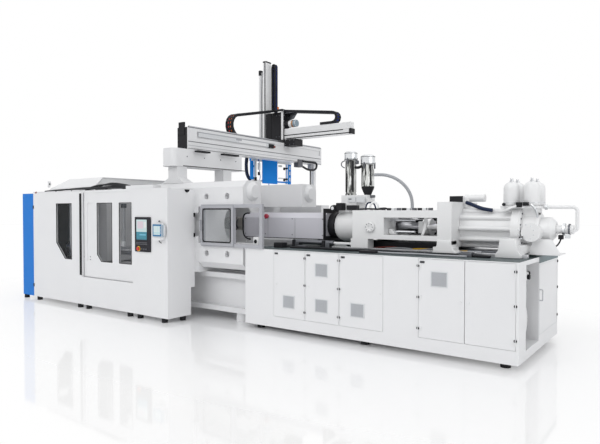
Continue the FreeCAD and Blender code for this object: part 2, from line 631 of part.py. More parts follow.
def tie_bars():
    """Four polished bars from the clamp cylinders to beyond the moving platen."""
    return group(*(rod("X", ("tie_left", across, z), "tie_radius",
                       "face_x + fixed_depth + tie_end - tie_left") for across, z in tie_places()))


node("clamp_bed", clamp_bed())
node("fixed_platen", fixed_platen())
node("moving_platen", moving_platen())
node("ejector", ejector())
node("tie_bars", tie_bars())
for number, (across, z) in enumerate(tie_places(), start=1):
    node(f"lock_collar_{number}", lock_collar(across, z))
node("clamp_cylinders", group(*(clamp_cylinder(across, rise)
                                for rise in (1, -1) for across in (-1, 1))))


# ---- the operator's station -----------------------------------------------------------

def control_panel():
    """The machine's own screen and keys, on the panel beside the door."""
    case = plate("XZ", ("-guard_half - station_wall", "-guard_half"),
                 oblong(("station_left", "station_low"), ("station_right", "station_high")))

    def corner_edge(edge):
        return runs_along(edge, "Y")

    soften(case, "12", corner_edge)
    screen = box(("screen_left", "screen_right"),
                 ("-guard_half - station_wall - 1", "-guard_half - station_wall + screen_deep"),
                 ("screen_low", "screen_high"))
    hole = rod("Y", ("stop_x", "-guard_half - station_wall - 1", "stop_z"), "stop_stem + 0.5",
               "station_wall + 2")
    return cut(case, screen, hole)


def stop_button():
    """The mushroom button: its head stands off the case by the way it travels."""
    head_face = "-guard_half - station_wall - stop_travel - 1"
    head = rod("Y", ("stop_x", f"{head_face} - stop_cap", "stop_z"), "stop_radius", "stop_cap")
    stem = rod("Y", ("stop_x", f"{head_face} - 1", "stop_z"), "stop_stem + 0.45",
               "stop_travel + station_wall + 2")
    return fuse(head, stem)


def pendant():
    """The robot's hand-held panel, resting in its holder."""
    back = "-guard_half - holder_wall - 0.3"
    left, right, low, high, bevel = ("pendant_left", "pendant_right", "pendant_low",
                                     "pendant_high", "pendant_bevel")
    outline = [(f"{left} + {bevel}", low), (f"{right} - {bevel}", low), (right, f"{low} + {bevel}"),
               (right, f"{high} - {bevel}"), (f"{right} - {bevel}", high),
               (f"{left} + {bevel}", high), (left, f"{high} - {bevel}"), (left, f"{low} + {bevel}")]
    case = plate("XZ", (f"{back} - pendant_wall + 15", back), outline)
    screen = box((f"{left} + 75", f"{right} - 75"),
                 (f"{back} - pendant_wall + 12", f"{back} - pendant_wall + 19"),
                 (f"{low} + 45", f"{high} - 45"))
    knob = rod("Z", (f"({left} + {right}) / 2", f"{back} - 15", f"{high} - 1"), "12", "26")
    return cut(fuse(case, knob), screen)


node("control_panel", control_panel())
node("stop_button", stop_button())
node("robot_pendant", pendant())


# ---- the guard at the nozzle ----------------------------------------------------------

def nozzle_guard():
    """A welded frame on the operator side of the nozzle, with rails for its gate."""
    outline = oblong(("rail_left", "rail_low"), ("rail_right", "rail_high"))
    wide = oblong(("rail_left + rail_bar", "rail_low + rail_bar"),
                  ("rail_mid - rail_bar / 2", "rail_high - rail_bar"))
    slim = oblong(("rail_mid + rail_bar / 2", "rail_low + rail_bar"),
                  ("rail_right - rail_bar", "rail_high - rail_bar"))
    return plate("XZ", ("-platen_half - rail_deep", "-platen_half"), outline, holes=[wide, slim])


def gate_span():
    """The gate's thickness across the machine, just clear of the guard it slides on."""
    return ("-platen_half - rail_deep - 0.3 - gate_wall", "-platen_half - rail_deep - 0.3")


def nozzle_gate():
    """The framed gate that slides along the nozzle guard."""
    left, right = "rail_left + 5", "rail_mid + 25"
    low, high = "rail_low + 20", "rail_high - 20"
    hole = oblong((f"{left} + gate_bar", f"{low} + gate_bar"), (f"{right} - gate_bar", f"{high} - gate_bar"))
    frame = plate("XZ", gate_span(), oblong((left, low), (right, high)), holes=[hole])
    handle = box((f"{left} + 10", f"{left} + 35"), (f"{gate_span()[0]} - 40", gate_span()[0] + " + 1"),
                 ("axis_z - 90", "axis_z + 90"))
    return fuse(frame, handle)


def gate_pane():
    """The clear pane of the nozzle gate."""
    left, right = "rail_left + 5 + gate_bar + 0.3", "rail_mid + 25 - gate_bar - 0.3"
    low, high = "rail_low + 20 + gate_bar + 0.3", "rail_high - 20 - gate_bar - 0.3"
    near = f"{gate_span()[0]} + gate_wall / 2"
    return plate("XZ", (near, f"{near} + pane_wall / 2"), oblong((left, low), (right, high)))


node("nozzle_guard", nozzle_guard())
node("nozzle_gate", nozzle_gate())
node("nozzle_gate_pane", gate_pane())


# ---- the machine base -----------------------------------------------------------------

LEAVES = {1: "right", 2: "right", 3: "left", 4: "left", 5: "right"}
HINGE_HEIGHTS = [f"hinge_first + {step} * hinge_pitch" for step in range(3)]


def hinge_x(leaf):
    """Where a cabinet door's hinge stands along the machine."""
    if LEAVES[leaf] == "right":
        return f"leaf{leaf}_right + 2"
    return f"leaf{leaf}_left - 2"


HINGE_ACROSS = "-base_half - knuckle_out"


def cabinet_door(leaf):
    """A flat cabinet door with its hinge knuckles and its vents."""
    left, right = f"leaf{leaf}_left", f"leaf{leaf}_right"
    skin = plate("XZ", ("-base_half", "-base_half + leaf_wall"),
                 oblong((left, "leaf_low"), (right, "leaf_high")))
    towards = -1 if LEAVES[leaf] == "right" else 1
    pieces = [skin]
    for height in HINGE_HEIGHTS:
        edge = hinge_x(leaf)
        pieces.append(rod("Z", (edge, HINGE_ACROSS, height), "knuckle_radius", "knuckle_long"))
        ends = sorted([f"{edge} + {towards * 45}", f"{edge} + {towards * 3}"],
                      key=lambda text: float(text.rsplit("+", 1)[1]))
        pieces.append(box(ends, ("-base_half - knuckle_out + knuckle_radius - 5", "-base_half + 1"),
                          (height, f"{height} + knuckle_long")))
    key_edge = f"{left} + key_inset" if LEAVES[leaf] == "right" else f"{right} - key_inset"
    pieces.append(rod("Y", (key_edge, "-base_half - 8", "key_high"), "key_radius", "9"))
    return fuse(*pieces)


def vent(x, z, across):
    """The shallow square frame of an air filter, on a cabinet door."""
    return box((x, f"{x} + vent_wide"), (f"{across} - vent_deep", across), (z, f"{z} + vent_high"))


def machine_base():
    """The long base: five switchgear bays behind its doors, an open bay at the drive end and
    a deck on top."""
    body = plate("XY", ("skirt_z", "base_top"), [
        ("base_left", "-base_half"), ("base_right - base_corner", "-base_half"),
        ("base_right", "-base_half + base_corner"), ("base_right", "base_half"), ("base_left", "base_half")])
    tools = []
    for leaf in LEAVES:
        left, right = f"leaf{leaf}_left - leaf_gap", f"leaf{leaf}_right + leaf_gap"
        tools.append(box((left, right), ("-base_half - 1", "-base_half + leaf_wall + 2"),
                         ("leaf_low - leaf_gap", "leaf_high + leaf_gap")))
        tools.append(box((f"{left} + bay_rim", f"{right} - bay_rim"),
                         ("-base_half + leaf_wall", "-base_half + bay_deep"),
                         ("leaf_low + bay_rim", "leaf_high - bay_rim")))
    tools.append(box(("base_right - recess_deep", "base_right + 1"), ("recess_front", "recess_back"),
                     ("recess_low", "base_top - 60")))
    pieces = [cut(body, *tools)]
    for leaf in LEAVES:
        for height in HINGE_HEIGHTS:
            edge = hinge_x(leaf)
            away = 1 if LEAVES[leaf] == "right" else -1
            post = f"{height} - knuckle_long - 0.3"
            pieces.append(rod("Z", (edge, HINGE_ACROSS, post), "knuckle_radius", "knuckle_long"))
            ends = (edge, f"{edge} + 8") if away > 0 else (f"{edge} - 8", edge)
            pieces.append(box(ends, ("-base_half - knuckle_out", "-base_half + 1"),
                              (post, f"{post} + knuckle_long")))
    for x in ("base_left + 200", "(base_left + base_right) / 2", "base_right - 200"):
        for side in SIDES.values():
            pieces.append(rod("Z", (x, f"{side} * (base_half - 180)", "0"), "pad_radius / 2", "skirt_z + 1"))
    return fuse(*pieces)


def guide_rails():
    """Two rails on the base for the injection unit."""
    return group(*(box(("slide_left", "base_right - 60"),
                       (f"{side} * slide_across - slide_wide / 2", f"{side} * slide_across + slide_wide / 2"),
                       ("base_top", "base_top + slide_high")) for side in SIDES.values()))


node("machine_base", machine_base())
VENTS = {1: [("vent1_left", "vent_lower")], 2: [("vent2_left", "vent_upper"), ("vent2_left", "vent_lower")],
         3: [("vent3_left", "vent_lower")], 4: [("vent4_left", "vent_upper")], 5: []}
for leaf in LEAVES:
    frames = [vent(x, z, "-base_half") for x, z in VENTS[leaf]]
    door = cabinet_door(leaf)
    node(f"cabinet_door_{leaf}", fuse(door, *frames) if frames else door)
node("guide_rails", guide_rails())


# ---- the injection unit ---------------------------------------------------------------

HOSE_HEADINGS = (0, 10, 20, 31, 43, 57, 73, 90)


def hose_route():
    """The suction hose's points along the machine and in height, from the short loader's stub:
    equal runs whose headings fall from level to upright."""
    x = size("throat_x") + size("feed_pitch") + size("short_radius") + size("hose_stub")
    route = [(x, size("hose_z"))]
    for heading in HOSE_HEADINGS:
        turn = math.radians(heading)
        x, z = route[-1]
        route.append((x + size("hose_run") * math.cos(turn), z - size("hose_run") * math.sin(turn)))
    return route


def hose_end():
    """Where the suction hose meets its socket, as two sums for the sheet."""
    first, last = hose_route()[0], hose_route()[-1]
    runs, drop = ((last[0] - first[0]) / size("hose_run"), (first[1] - last[1]) / size("hose_run"))
    return (f"throat_x + feed_pitch + short_radius + hose_stub + hose_run * {runs:.6f}",
            f"hose_z - hose_run * {drop + 0.0005:.6f}")


def injection_frame():
    """The casting that slides on the rails: a block for the barrel, beams at both sides of an
    open window, and a pillar for the injection cylinder."""
    low, high, half = "unit_low", "unit_high", "unit_half"
    pieces = [box(("unit_left", "block_end"), (f"-{half}", half), (low, high)),
              box(("pillar_left", "pillar_right"), (f"-{half}", half), ("base_top + slide_high + 60",
                                                                        "pillar_high"))]
    for side in SIDES.values():
        inner, outer = f"{side} * ({half} - beam_wide)", f"{side} * {half}"
        span = (inner, outer) if side > 0 else (outer, inner)
        pieces.append(box(("block_end - 1", "pillar_left + 1"), span, (f"{high} - beam_upper", high)))
        pieces.append(box(("block_end - 1", "pillar_left + 1"), span, (low, f"{low} + beam_lower")))
        for left, right, top in (("shoe_left", "shoe_right", low),
                                 ("pillar_left - 60", "pillar_right + 30", "base_top + slide_high + 61")):
            middle = f"{side} * slide_across"
            pieces.append(box((left, right), (f"{middle} - shoe_wide / 2", f"{middle} + shoe_wide / 2"),
                              ("base_top + slide_high + 0.3", f"{top} + 1")))
    bore = rod("X", ("unit_left - 1", "0", "axis_z"), "barrel_radius + 0.3", "barrel_tail + 2")
    wide_bore = rod("X", ("unit_left + barrel_tail", "0", "axis_z"), "unit_bore",
                    "block_end - unit_left - barrel_tail + 1")
    shaft_bore = rod("X", ("pillar_left - 1", "0", "axis_z"), "drive_shaft + 0.5",
                     "pillar_right - pillar_left + 2")
    rod_bores = [rod("X", ("pillar_left - 1", f"{side} * rod_across", "axis_z"), "rod_radius + 0.5",
                     "pillar_right - pillar_left + 2") for side in SIDES.values()]
    pulls = [rod("X", ("pull_left + 60 + unit_travel", f"{side} * pull_across", "pull_z"), "pull_rod",
                 "shoe_left + 5 - (pull_left + 60 + unit_travel)") for side in SIDES.values()]
    hose_x, hose_low = hose_end()
    tie = box((f"{hose_x} - 110", f"{hose_x} + 110"),
              (f"-{half} + beam_wide - 1", f"{half} - beam_wide + 1"), (f"{high} - 30", high))
    socket = rod("Z", (hose_x, "0", f"{high} - 1"), "hose_radius + 8", f"{hose_low} - {high} + 1")
    cube = box(("pillar_left + 10", "pillar_right - 1"), ("-cube_half", "cube_half"),
               ("pillar_high - 1", "pillar_high + cube_high"))
    tank = rod("X", ("pillar_right - 2", "0", "tank_z"), "tank_radius", "tank_long")
    post = box(("pillar_right - 1", "pillar_right + tank_post"), ("-tank_radius", "tank_radius"),
               ("pillar_high - tank_post", "tank_z"))
    boss = rod("Y", ("boss_x", f"-{half} - boss_out", "axis_z"), "boss_radius", "boss_out + 1")
    eye = rod("Y", ("boss_x", f"-{half} - boss_out - 1", "axis_z"), "boss_radius * 0.3", "boss_out * 2")
    ring = doc.addObject("Part::Torus", "Eye")
    ring.setExpression("Radius1", formula("ring_eye_radius"))
    ring.setExpression("Radius2", formula("ring_eye_bar"))
    ring.Placement.Rotation = TURN["Y"]
    place(ring, "boss_x + 10", "-unit_half + 110", "unit_high + ring_eye_radius - ring_eye_bar + 1")
    return cut(fuse(*pieces, boss, ring, tie, socket, cube, tank, post, *pulls),
               bore, wide_bore, shaft_bore, eye, *rod_bores)


def barrel():
    """The plasticising barrel with its nozzle, bored for the screw."""
    left, tail = "barrel_left", "unit_left + barrel_tail"
    shoulder = "nozzle_left + nozzle_long"
    return turned([
        ("nozzle_left", "nozzle_bore"), ("nozzle_left", "nozzle_radius - 12"),
        ("nozzle_left + 40", "nozzle_radius"), (shoulder, "nozzle_radius"),
        (shoulder, "nozzle_radius * 2"), (left, "barrel_radius - 15"), (left, "barrel_radius"),
        (tail, "barrel_radius"), (tail, "screw_bore"), (f"{left} + 40", "screw_bore"),
        (f"{left} - 120", "nozzle_bore")])


def heater_bands():
    """Clamped heater bands along the barrel, from its front end to the feed throat."""
    count = int((size("ring_left") - size("barrel_left") - size("band_first")) // size("band_pitch"))
    bands = []
    for step in range(count):
        left = f"barrel_left + band_first + {step} * band_pitch"
        bands.append(turned([(left, "barrel_radius + 0.3"), (left, "barrel_radius + band_wall"),
                             (f"{left} + band_long", "barrel_radius + band_wall"),
                             (f"{left} + band_long", "barrel_radius + 0.3")]))
    return group(*bands)


def barrel_flange():
    """The round casting between the barrel and the unit, with the dark ring before it."""
    bore = "barrel_radius + 0.3"
    return turned([
        ("ring_left", bore), ("ring_left", "ring_radius"), ("ring_right", "ring_radius"),
        ("ring_right", "dome_radius - 90"), ("ring_right + 30", "dome_radius - 35"),
        ("ring_right + 100", "dome_radius"), ("unit_left", "dome_radius"), ("unit_left", bore)])


def barrel_cover():
    """The sheet hood over the barrel, open underneath, with end walls that clasp the barrel."""
    low, high, half, bevel = "cover_low", "cover_high", "cover_half", "cover_bevel"

    def section(wall):
        return [(f"-{half} + {wall}", low if wall == "0" else f"{low} - 1"),
                (f"{half} - {wall}", low if wall == "0" else f"{low} - 1"),
                (f"{half} - {wall}", f"{high} - {bevel}"), (f"{half} - {bevel}", f"{high} - {wall}"),
                (f"-{half} + {bevel}", f"{high} - {wall}"), (f"-{half} + {wall}", f"{high} - {bevel}")]

    hood = plate("YZ", ("cover_left", "cover_right"), section("0"))
    inside = plate("YZ", ("cover_left + cover_wall", "cover_right - cover_wall"), section("cover_wall"))
    hole = rod("X", ("cover_left - 1", "0", "axis_z"), "barrel_radius + 0.3",
               "cover_right - cover_left + 2")
    return cut(hood, inside, hole)


def screw():
    """The screw with its drive shaft: tip, core and the shank that runs back to the drive."""
    start = "barrel_left + 60"
    bearing = "screw_bore - screw_fit"
    shank = "unit_left - 700"
    return turned([
        (start, "0"), (f"{start} + 90", "screw_core - 10"), (f"{start} + 90", bearing),
        (f"{start} + 190", bearing), (f"{start} + 190", "screw_core"), (shank, "screw_core"),
        (shank, bearing), ("unit_left + barrel_tail + stroke + 60", bearing),
        ("unit_left + barrel_tail + stroke + 60", "drive_shaft + 20"),
        ("crosshead_left - 1 - seam", "drive_shaft + 20"), ("crosshead_left - 1 - seam", "drive_shaft"),
        ("shaft_end", "drive_shaft"), ("shaft_end", "0")])


def crosshead():
    """The crosshead that pushes the screw, on its two piston rods."""
    head = plate("YZ", ("crosshead_left", "crosshead_right"),
                 oblong(("-crosshead_half", "axis_z - 90"), ("crosshead_half", "axis_z + 90")))
    hub = rod("X", ("crosshead_left - 1", "0", "axis_z"), "130", "crosshead_right - crosshead_left + 40")
    rods = [rod("X", ("crosshead_right - 5", f"{side} * rod_across", "axis_z"), "rod_radius",
                "rod_end - crosshead_right") for side in SIDES.values()]
    bore = rod("X", ("crosshead_left - 2", "0", "axis_z"), "drive_shaft + 0.5",
               "crosshead_right - crosshead_left + 60")
    return cut(fuse(head, hub, *rods), bore)


def injection_cylinder():
    """The ribbed cylinder housing, bored for the drive shaft and the piston rods."""
    long = "core_right - pillar_right - 0.3"
    core = rod("X", ("pillar_right + 0.3", "0", "axis_z"), "core_radius", long)
    ribs = []
    for step in range(10):
        turn = math.radians(step * 36)
        ribs.append(rod("X", ("pillar_right + 0.3", f"rib_ring * {math.cos(turn):.5f}",
                              f"axis_z + rib_ring * {math.sin(turn):.5f}"), "rib_radius", long))
    shaft = rod("X", ("pillar_right - 1", "0", "axis_z"), "drive_shaft + 0.5",
                "shaft_end + stroke - pillar_right + 30")
    rods = [rod("X", ("pillar_right - 1", f"{side} * rod_across", "axis_z"), "rod_radius + 0.5",
                "rod_end + stroke - pillar_right + 30") for side in SIDES.values()]
    return cut(fuse(core, *ribs), shaft, *rods)


def drive_housing():
    """The flange, gearbox and motor behind the cylinder, with the manifold for the
    accumulators on top and a bolted cover on the operator's side."""
    body = turned([
        ("core_right", "0"), ("core_right", "disc_radius"), ("disc_right - 25", "disc_radius"),
        ("disc_right", "disc_radius - 25"), ("disc_right", "gear_radius"),
        ("gear_right - 20", "gear_radius"), ("gear_right", "gear_radius - 20"),
        ("gear_right", "motor_radius"), ("motor_right - 60", "motor_radius"),
        ("motor_right", "motor_radius - 60"), ("motor_right", "neck_radius"),
        ("neck_right", "neck_radius"), ("neck_right", "0")])
    manifold = box(("bottle_first - bottle_radius - 15", "bottle_first + bottle_pitch + bottle_radius + 15"),
                   ("-bottle_across - bottle_radius", "bottle_across + bottle_radius"),
                   ("bottle_low - manifold_high", "bottle_low"))
    neck = box(("disc_right - 5", "gear_right - 30"), ("-150", "150"), ("axis_z + 100", "bottle_low - 5"))
    cover = rod("Y", ("cap_cover_x", "-gear_radius - 70", "axis_z - 40"), "cap_cover_radius",
                "gear_radius")
    low, top = "base_top + slide_high + seam", "axis_z - gear_radius + 25"
    edge = "slide_across + shoe_wide / 2"
    saddle = box(("core_right", "rear_shoe_right"), (f"-({edge})", edge), (low, top))
    shoes = [box(("rear_shoe_left", "core_right + 1"),
                 (f"{side} * slide_across - shoe_wide / 2", f"{side} * slide_across + shoe_wide / 2"),
                 (low, top)) for side in SIDES.values()]
    return fuse(body, manifold, neck, cover, saddle, *shoes)


def accumulators():
    """Four gas bottles that stand on the manifold."""
    bottles = []
    for step in range(2):
        for side in SIDES.values():
            x, across = f"bottle_first + {step} * bottle_pitch", f"{side} * bottle_across"
            body = rod("Z", (x, across, "bottle_low"), "bottle_radius",
                       "bottle_high - bottle_nub * 2 - bottle_low - 60")
            shoulder = cone("Z", (x, across, "bottle_high - bottle_nub * 2 - 60"), "bottle_radius",
                            "bottle_radius - 50", "60")
            nub = rod("Z", (x, across, "bottle_high - bottle_nub * 2 - 1"), "bottle_nub",
                      "bottle_nub * 2 + 1")
            bottles.append(fuse(body, shoulder, nub))
    return group(*bottles)


def pull_cylinders():
    """Two cylinders on the base that draw the unit to the mould."""
    pieces = []
    for side in SIDES.values():
        across = f"{side} * pull_across"
        body = rod("X", ("pull_left", across, "pull_z"), "pull_radius", "pull_right - pull_left")
        blocks = [box((x, f"{x} + 90"), (f"{across} - 55", f"{across} + 55"), ("base_top", "pull_z"))
                  for x in ("pull_left + 60", "pull_right - 150")]
        bore = rod("X", ("pull_left + 50", across, "pull_z"), "pull_rod + 0.5", "pull_right - pull_left")
        pieces.append(cut(fuse(body, *blocks), bore))
    return group(*pieces)


def pipe(path, radius, bend):
    """A round tube through corners, with an arc at each turn."""
    corners = [Vector(*corner) for corner in path]
    edges, last = [], corners[0]
    for before, corner, after in zip(corners, corners[1:], corners[2:]):
        entry, leave = (before - corner).normalize(), (after - corner).normalize()
        half = entry.getAngle(leave) / 2
        reach = bend / math.tan(half)
        start, end = corner + entry * reach, corner + leave * reach
        inward = (entry + leave).normalize()
        middle = corner + inward * (bend / math.sin(half) - bend)
        edges += [Part.LineSegment(last, start).toShape(), Part.Arc(start, middle, end).toShape()]
        last = end
    edges.append(Part.LineSegment(last, corners[-1]).toShape())
    spine = Part.Wire(edges)
    ring = Part.Wire([Part.Circle(corners[0], corners[1] - corners[0], radius).toShape()])
    return spine.makePipeShell([ring], True, False)


def loose(name, shape):
    """A piece whose shape is worked out here from the sizes in the sheet."""
    piece = doc.addObject("Part::Feature", name)
    piece.Shape = shape
    return piece


def return_pipe():
    """The bent pipe at the drive end, from the gearbox round to the neck."""
    y, z = size("axis_y"), size("axis_z")
    out = size("neck_right") + size("return_out")
    manifold_right = size("bottle_first") + size("bottle_pitch") + size("bottle_radius") + 15
    high = size("bottle_low") - size("manifold_high") / 2
    path = [(manifold_right + 0.3, y, high), (out, y, high), (out, y, z - 20),
            (size("neck_right") + 0.3, y, z - 20)]
    return loose("ReturnPipe", pipe(path, size("return_radius"), size("return_bend")))


node("injection_frame", injection_frame())
node("barrel", barrel())
node("heater_bands", heater_bands())
node("barrel_flange", barrel_flange())
node("barrel_cover", barrel_cover())
node("screw", screw())
node("crosshead", crosshead())
node("injection_cylinder", injection_cylinder())
node("drive_housing", drive_housing())
node("accumulators", accumulators())
node("pull_cylinders", pull_cylinders())
node("return_pipe", return_pipe())


# ---- the material feed ----------------------------------------------------------------

def feeder_base():
    """The dosing block on the feed throat: a dark gear block, a pale slide block above it and
    a stub motor at the side."""
    lower = box(("throat_x - 140", "throat_x + 200"), ("-170", "170"), ("feed_low - 40", "feed_mid"))
    upper = box(("throat_x - 110", "throat_x + feed_pitch + 60"), ("-130", "130"), ("feed_mid - 1", "feed_high"))
    stub = rod("X", ("throat_x - 240", "-60", "feed_mid - 50"), "45", "101")
    seat = rod("X", ("ring_left", "0", "axis_z"), "dome_radius + 0.3", "unit_left - ring_left")
    return cut(fuse(lower, upper, stub), seat)


def feeder(x, low, radius, cap_radius, cap_low, high, cone_low=None):
    """An upright loader: a body with a wider clear cap, on a cone where it has one."""
    pieces = [rod("Z", (x, "0", low), radius, f"{cap_low} + 1 - ({low})"),
              rod("Z", (x, "0", cap_low), cap_radius, f"{high} - 25 - {cap_low}"),
              cone("Z", (x, "0", f"{high} - 26"), cap_radius, f"{cap_radius} - 25", "26")]
    if cone_low:
        pieces.append(cone("Z", (x, "0", cone_low), f"{radius} / 2", radius, f"{low} + 1 - ({cone_low})"))
        pieces.append(rod("X", (x, "0", "hose_z"), "hose_radius + 6", f"{radius} + hose_stub"))
    return fuse(*pieces)


def flexible(name, route, radius):
    """A round tube that bends through a route's points, each bend as wide as its runs allow."""
    edges, last = [], route[0]
    for before, corner, after in zip(route, route[1:], route[2:]):
        back, on = before - corner, after - corner
        half_turn = (math.pi - back.getAngle(on)) / 2
        reach = 0.45 * min(back.Length, on.Length)
        bend = reach / math.tan(half_turn)
        print(f"{name} bend radius {bend:.0f}")
        start, end = corner + back.normalize() * reach, corner + on.normalize() * reach
        inward = (back + on).normalize()
        middle = corner + inward * (bend / math.cos(half_turn) - bend)
        edges += [Part.LineSegment(last, start).toShape(), Part.Arc(start, middle, end).toShape()]
        last = end
    edges.append(Part.LineSegment(last, route[-1]).toShape())
    spine = Part.Wire(edges)
    ring = Part.Wire([Part.Circle(route[0], route[1] - route[0], radius).toShape()])
    tube = spine.makePipeShell([ring], True, False)
    print(f"{name} length {spine.Length:.0f}, volume ratio "
          f"{tube.Volume / (spine.Length * math.pi * radius ** 2):.4f}")
    return loose(name, tube)


def suction_hose():
    """The hose from the short loader down to the socket on the unit."""
    y = size("axis_y")
    return flexible("SuctionHose", [Vector(x, y, z) for x, z in hose_route()], size("hose_radius"))


node("feeder_base", feeder_base())
node("feeder_tall", feeder("throat_x", "feed_high", "tall_radius", "tall_cap", "tall_cap_low", "tall_high"))
node("feeder_short", feeder("throat_x + feed_pitch", "short_low", "short_radius", "short_cap",
                            "short_cap_low", "short_high", cone_low="feed_high"))
node("suction_hose", suction_hose())


# ---- the cabinet behind the nozzle ----------------------------------------------------

def rear_cabinet():
    """A tall cabinet on the side away from the operator, against the end of the guard."""
    left, right = "guard_right + seam", "rear_cab_right"
    case = box((left, right), ("rear_cab_front", "rear_cab_back"), ("skirt_z", "rear_cab_high"))
    stands = [rod("Z", (x, f"{across}", "0"), "foot_radius", "skirt_z")
              for x in (f"{left} + foot_inset", f"{right} - foot_inset")
              for across in ("rear_cab_front + foot_radius + 20", "rear_cab_back - foot_radius - 20")]
    middle, half = "rear_cab_front + socket_inset", "socket_side / 2"
    socket = box((f"socket_x - {half}", f"socket_x + {half}"), (f"{middle} - {half}", f"{middle} + {half}"),
                 ("rear_cab_high - 1", "rear_cab_high + socket_high"))
    return fuse(case, socket, *stands)


# The points of the cable's sag: its way across to the cabinet and its height over it, as
# shares of the whole.
CABLE_SAG = ((0.02, 0.60), (0.07, 0.43), (0.17, 0.28), (0.33, 0.16), (0.52, 0.09), (0.72, 0.065), (0.88, 0.065))


def beam_cable():
    """The cable that hangs from its box under the robot's beam across to the cabinet."""
    y, roof = size("axis_y"), size("rear_cab_high")
    start = Vector(size("beam_right") - 30 - size("outlet_side") / 2,
                   y + size("beam_back") - size("outlet_gap"),
                   size("console_high") - size("outlet_high") - size("seam"))
    end = Vector(size("socket_x"), y + size("rear_cab_front") + size("socket_inset") + size("socket_side") / 2
                 + size("seam"), roof + size("socket_high") * 0.6)
    before = end + Vector(0, size("socket_high"), 0)
    fall = start.z - roof
    route = [start, start - Vector(0, 0, fall * 0.14)]
    for share, rise in CABLE_SAG:
        route.append(Vector(start.x + (before.x - start.x) * share, start.y + (before.y - start.y) * share,
                            roof + fall * rise))
    return flexible("BeamCable", [*route, before, end], size("cable_radius"))


node("rear_cabinet", rear_cabinet())
node("beam_cable", beam_cable())


# ---- the take-out robot ---------------------------------------------------------------

def robot_console():
    """The robot's control housing: a long rounded box on two flared legs on the platen."""
    case = plate("XY", ("console_low", "console_high"),
                 oblong(("console_left", "console_front"), ("beam_right", "console_back")))

    def upright_edge(edge):
        return runs_along(edge, "Z")

    soften(case, "console_radius", upright_edge)
    low = "platen_high"
    outline = [("leg_left - leg_flare", low), ("leg_right + leg_flare", low),
               ("leg_right + leg_flare", f"{low} + 20"), ("leg_right", f"{low} + leg_foot"),
               ("leg_right", "console_low + 1"), ("leg_left", "console_low + 1"),
               ("leg_left", f"{low} + leg_foot"), ("leg_left - leg_flare", f"{low} + 20")]
    legs = [plate("XZ", (across, f"{across} + leg_wide"), outline) for across in ("leg_front", "leg_back")]
    return fuse(case, *legs)


def traverse_beam():
    """The beam across the machine: a box section with a channel along its side, two rails on
    top and a tray beside them for the chain, a stop at the operator's end, the box that the
    cable leaves by and a post under the far end."""
    body = box(("beam_left", "beam_right"), ("beam_front", "beam_back"), ("console_high", "beam_high"))
    channel = box(("beam_right - channel_deep", "beam_right + 1"), ("channel_front", "beam_back - 60"),
                  ("channel_low", "channel_high"))
    rails = [box((x, f"{x} + track_rail"), ("beam_front + 60", "beam_back - 20"),
                 ("beam_high - 1", "beam_high + track_rail_high"))
             for x in ("saddle_left + 10", "beam_right - 10 - track_rail")]
    stop = box(("beam_left + 45", "beam_left + 45 + stop_wide"), ("beam_front - 12", "beam_front + 20"),
               ("beam_high - 150", "beam_high + stop_block"))
    tray = box(("long_x - long_wide / 2", "beam_left + 1"), ("tray_front", "beam_back"),
               ("beam_high - tray_wall", "beam_high"))
    middle = "beam_back - outlet_gap"
    outlet = box(("beam_right - outlet_side - 30", "beam_right - 30"),
                 (f"{middle} - outlet_side / 2", f"{middle} + outlet_side / 2"),
                 ("console_high - outlet_high", "console_high + 1"))
    half = "post_side / 2"
    post = box((f"post_x - {half}", f"post_x + {half}"), (f"post_across - {half}", f"post_across + {half}"),
               ("0", "console_high + 1"))
    shoe = box(("post_x - post_side", "post_x + post_side"),
               ("post_across - post_side", "post_across + post_side"), ("0", "20"))
    return fuse(cut(body, channel), *rails, stop, tray, outlet, post, shoe)


def traverse_carriage():
    """The carriage on the beam: its plate and skirt, the portal that guides the strip beam, a
    servo motor, and the arm that carries the end of the long chain."""
    middle = "robot_across"
    saddle = box(("saddle_left", "saddle_right"), (f"{middle} - saddle_half", f"{middle} + saddle_half"),
                 ("beam_high + track_rail_high + seam", "saddle_high"))
    skirt = box(("beam_right + 5", "saddle_right"), (f"{middle} - saddle_half", f"{middle} + saddle_half"),
                ("skirt_low", "saddle_high"))
    bay = "strip_half + seam"
    outline = [(f"{middle} - portal_half", "saddle_high - 1"), (f"{middle} - ({bay})", "saddle_high - 1"),
               (f"{middle} - ({bay})", "strip_high + seam"), (f"{middle} + ({bay})", "strip_high + seam"),
               (f"{middle} + ({bay})", "saddle_high - 1"), (f"{middle} + portal_half", "saddle_high - 1"),
               (f"{middle} + portal_half", "portal_high"), (f"{middle} - portal_half", "portal_high")]
    left = "strip_left + seam"
    portal = plate("YZ", (left, f"{left} + portal_wall"), outline)
    servo = rod("X", (f"{left} + portal_wall - 1", middle, "servo_z"), "servo_radius",
                f"servo_right - ({left} + portal_wall) + 1")
    near = f"{middle} - portal_half - 45"
    carrier = box(("long_x - long_wide / 2", f"{left} + portal_wall"), (near, f"{middle} - portal_half + 10"),
                  ("portal_high - 45", "portal_high"))
    lamp = rod("Z", (f"{left} - 70", f"{near} + 22", "portal_high - 1"), "18", "61")
    return fuse(saddle, skirt, portal, servo, carrier, lamp)


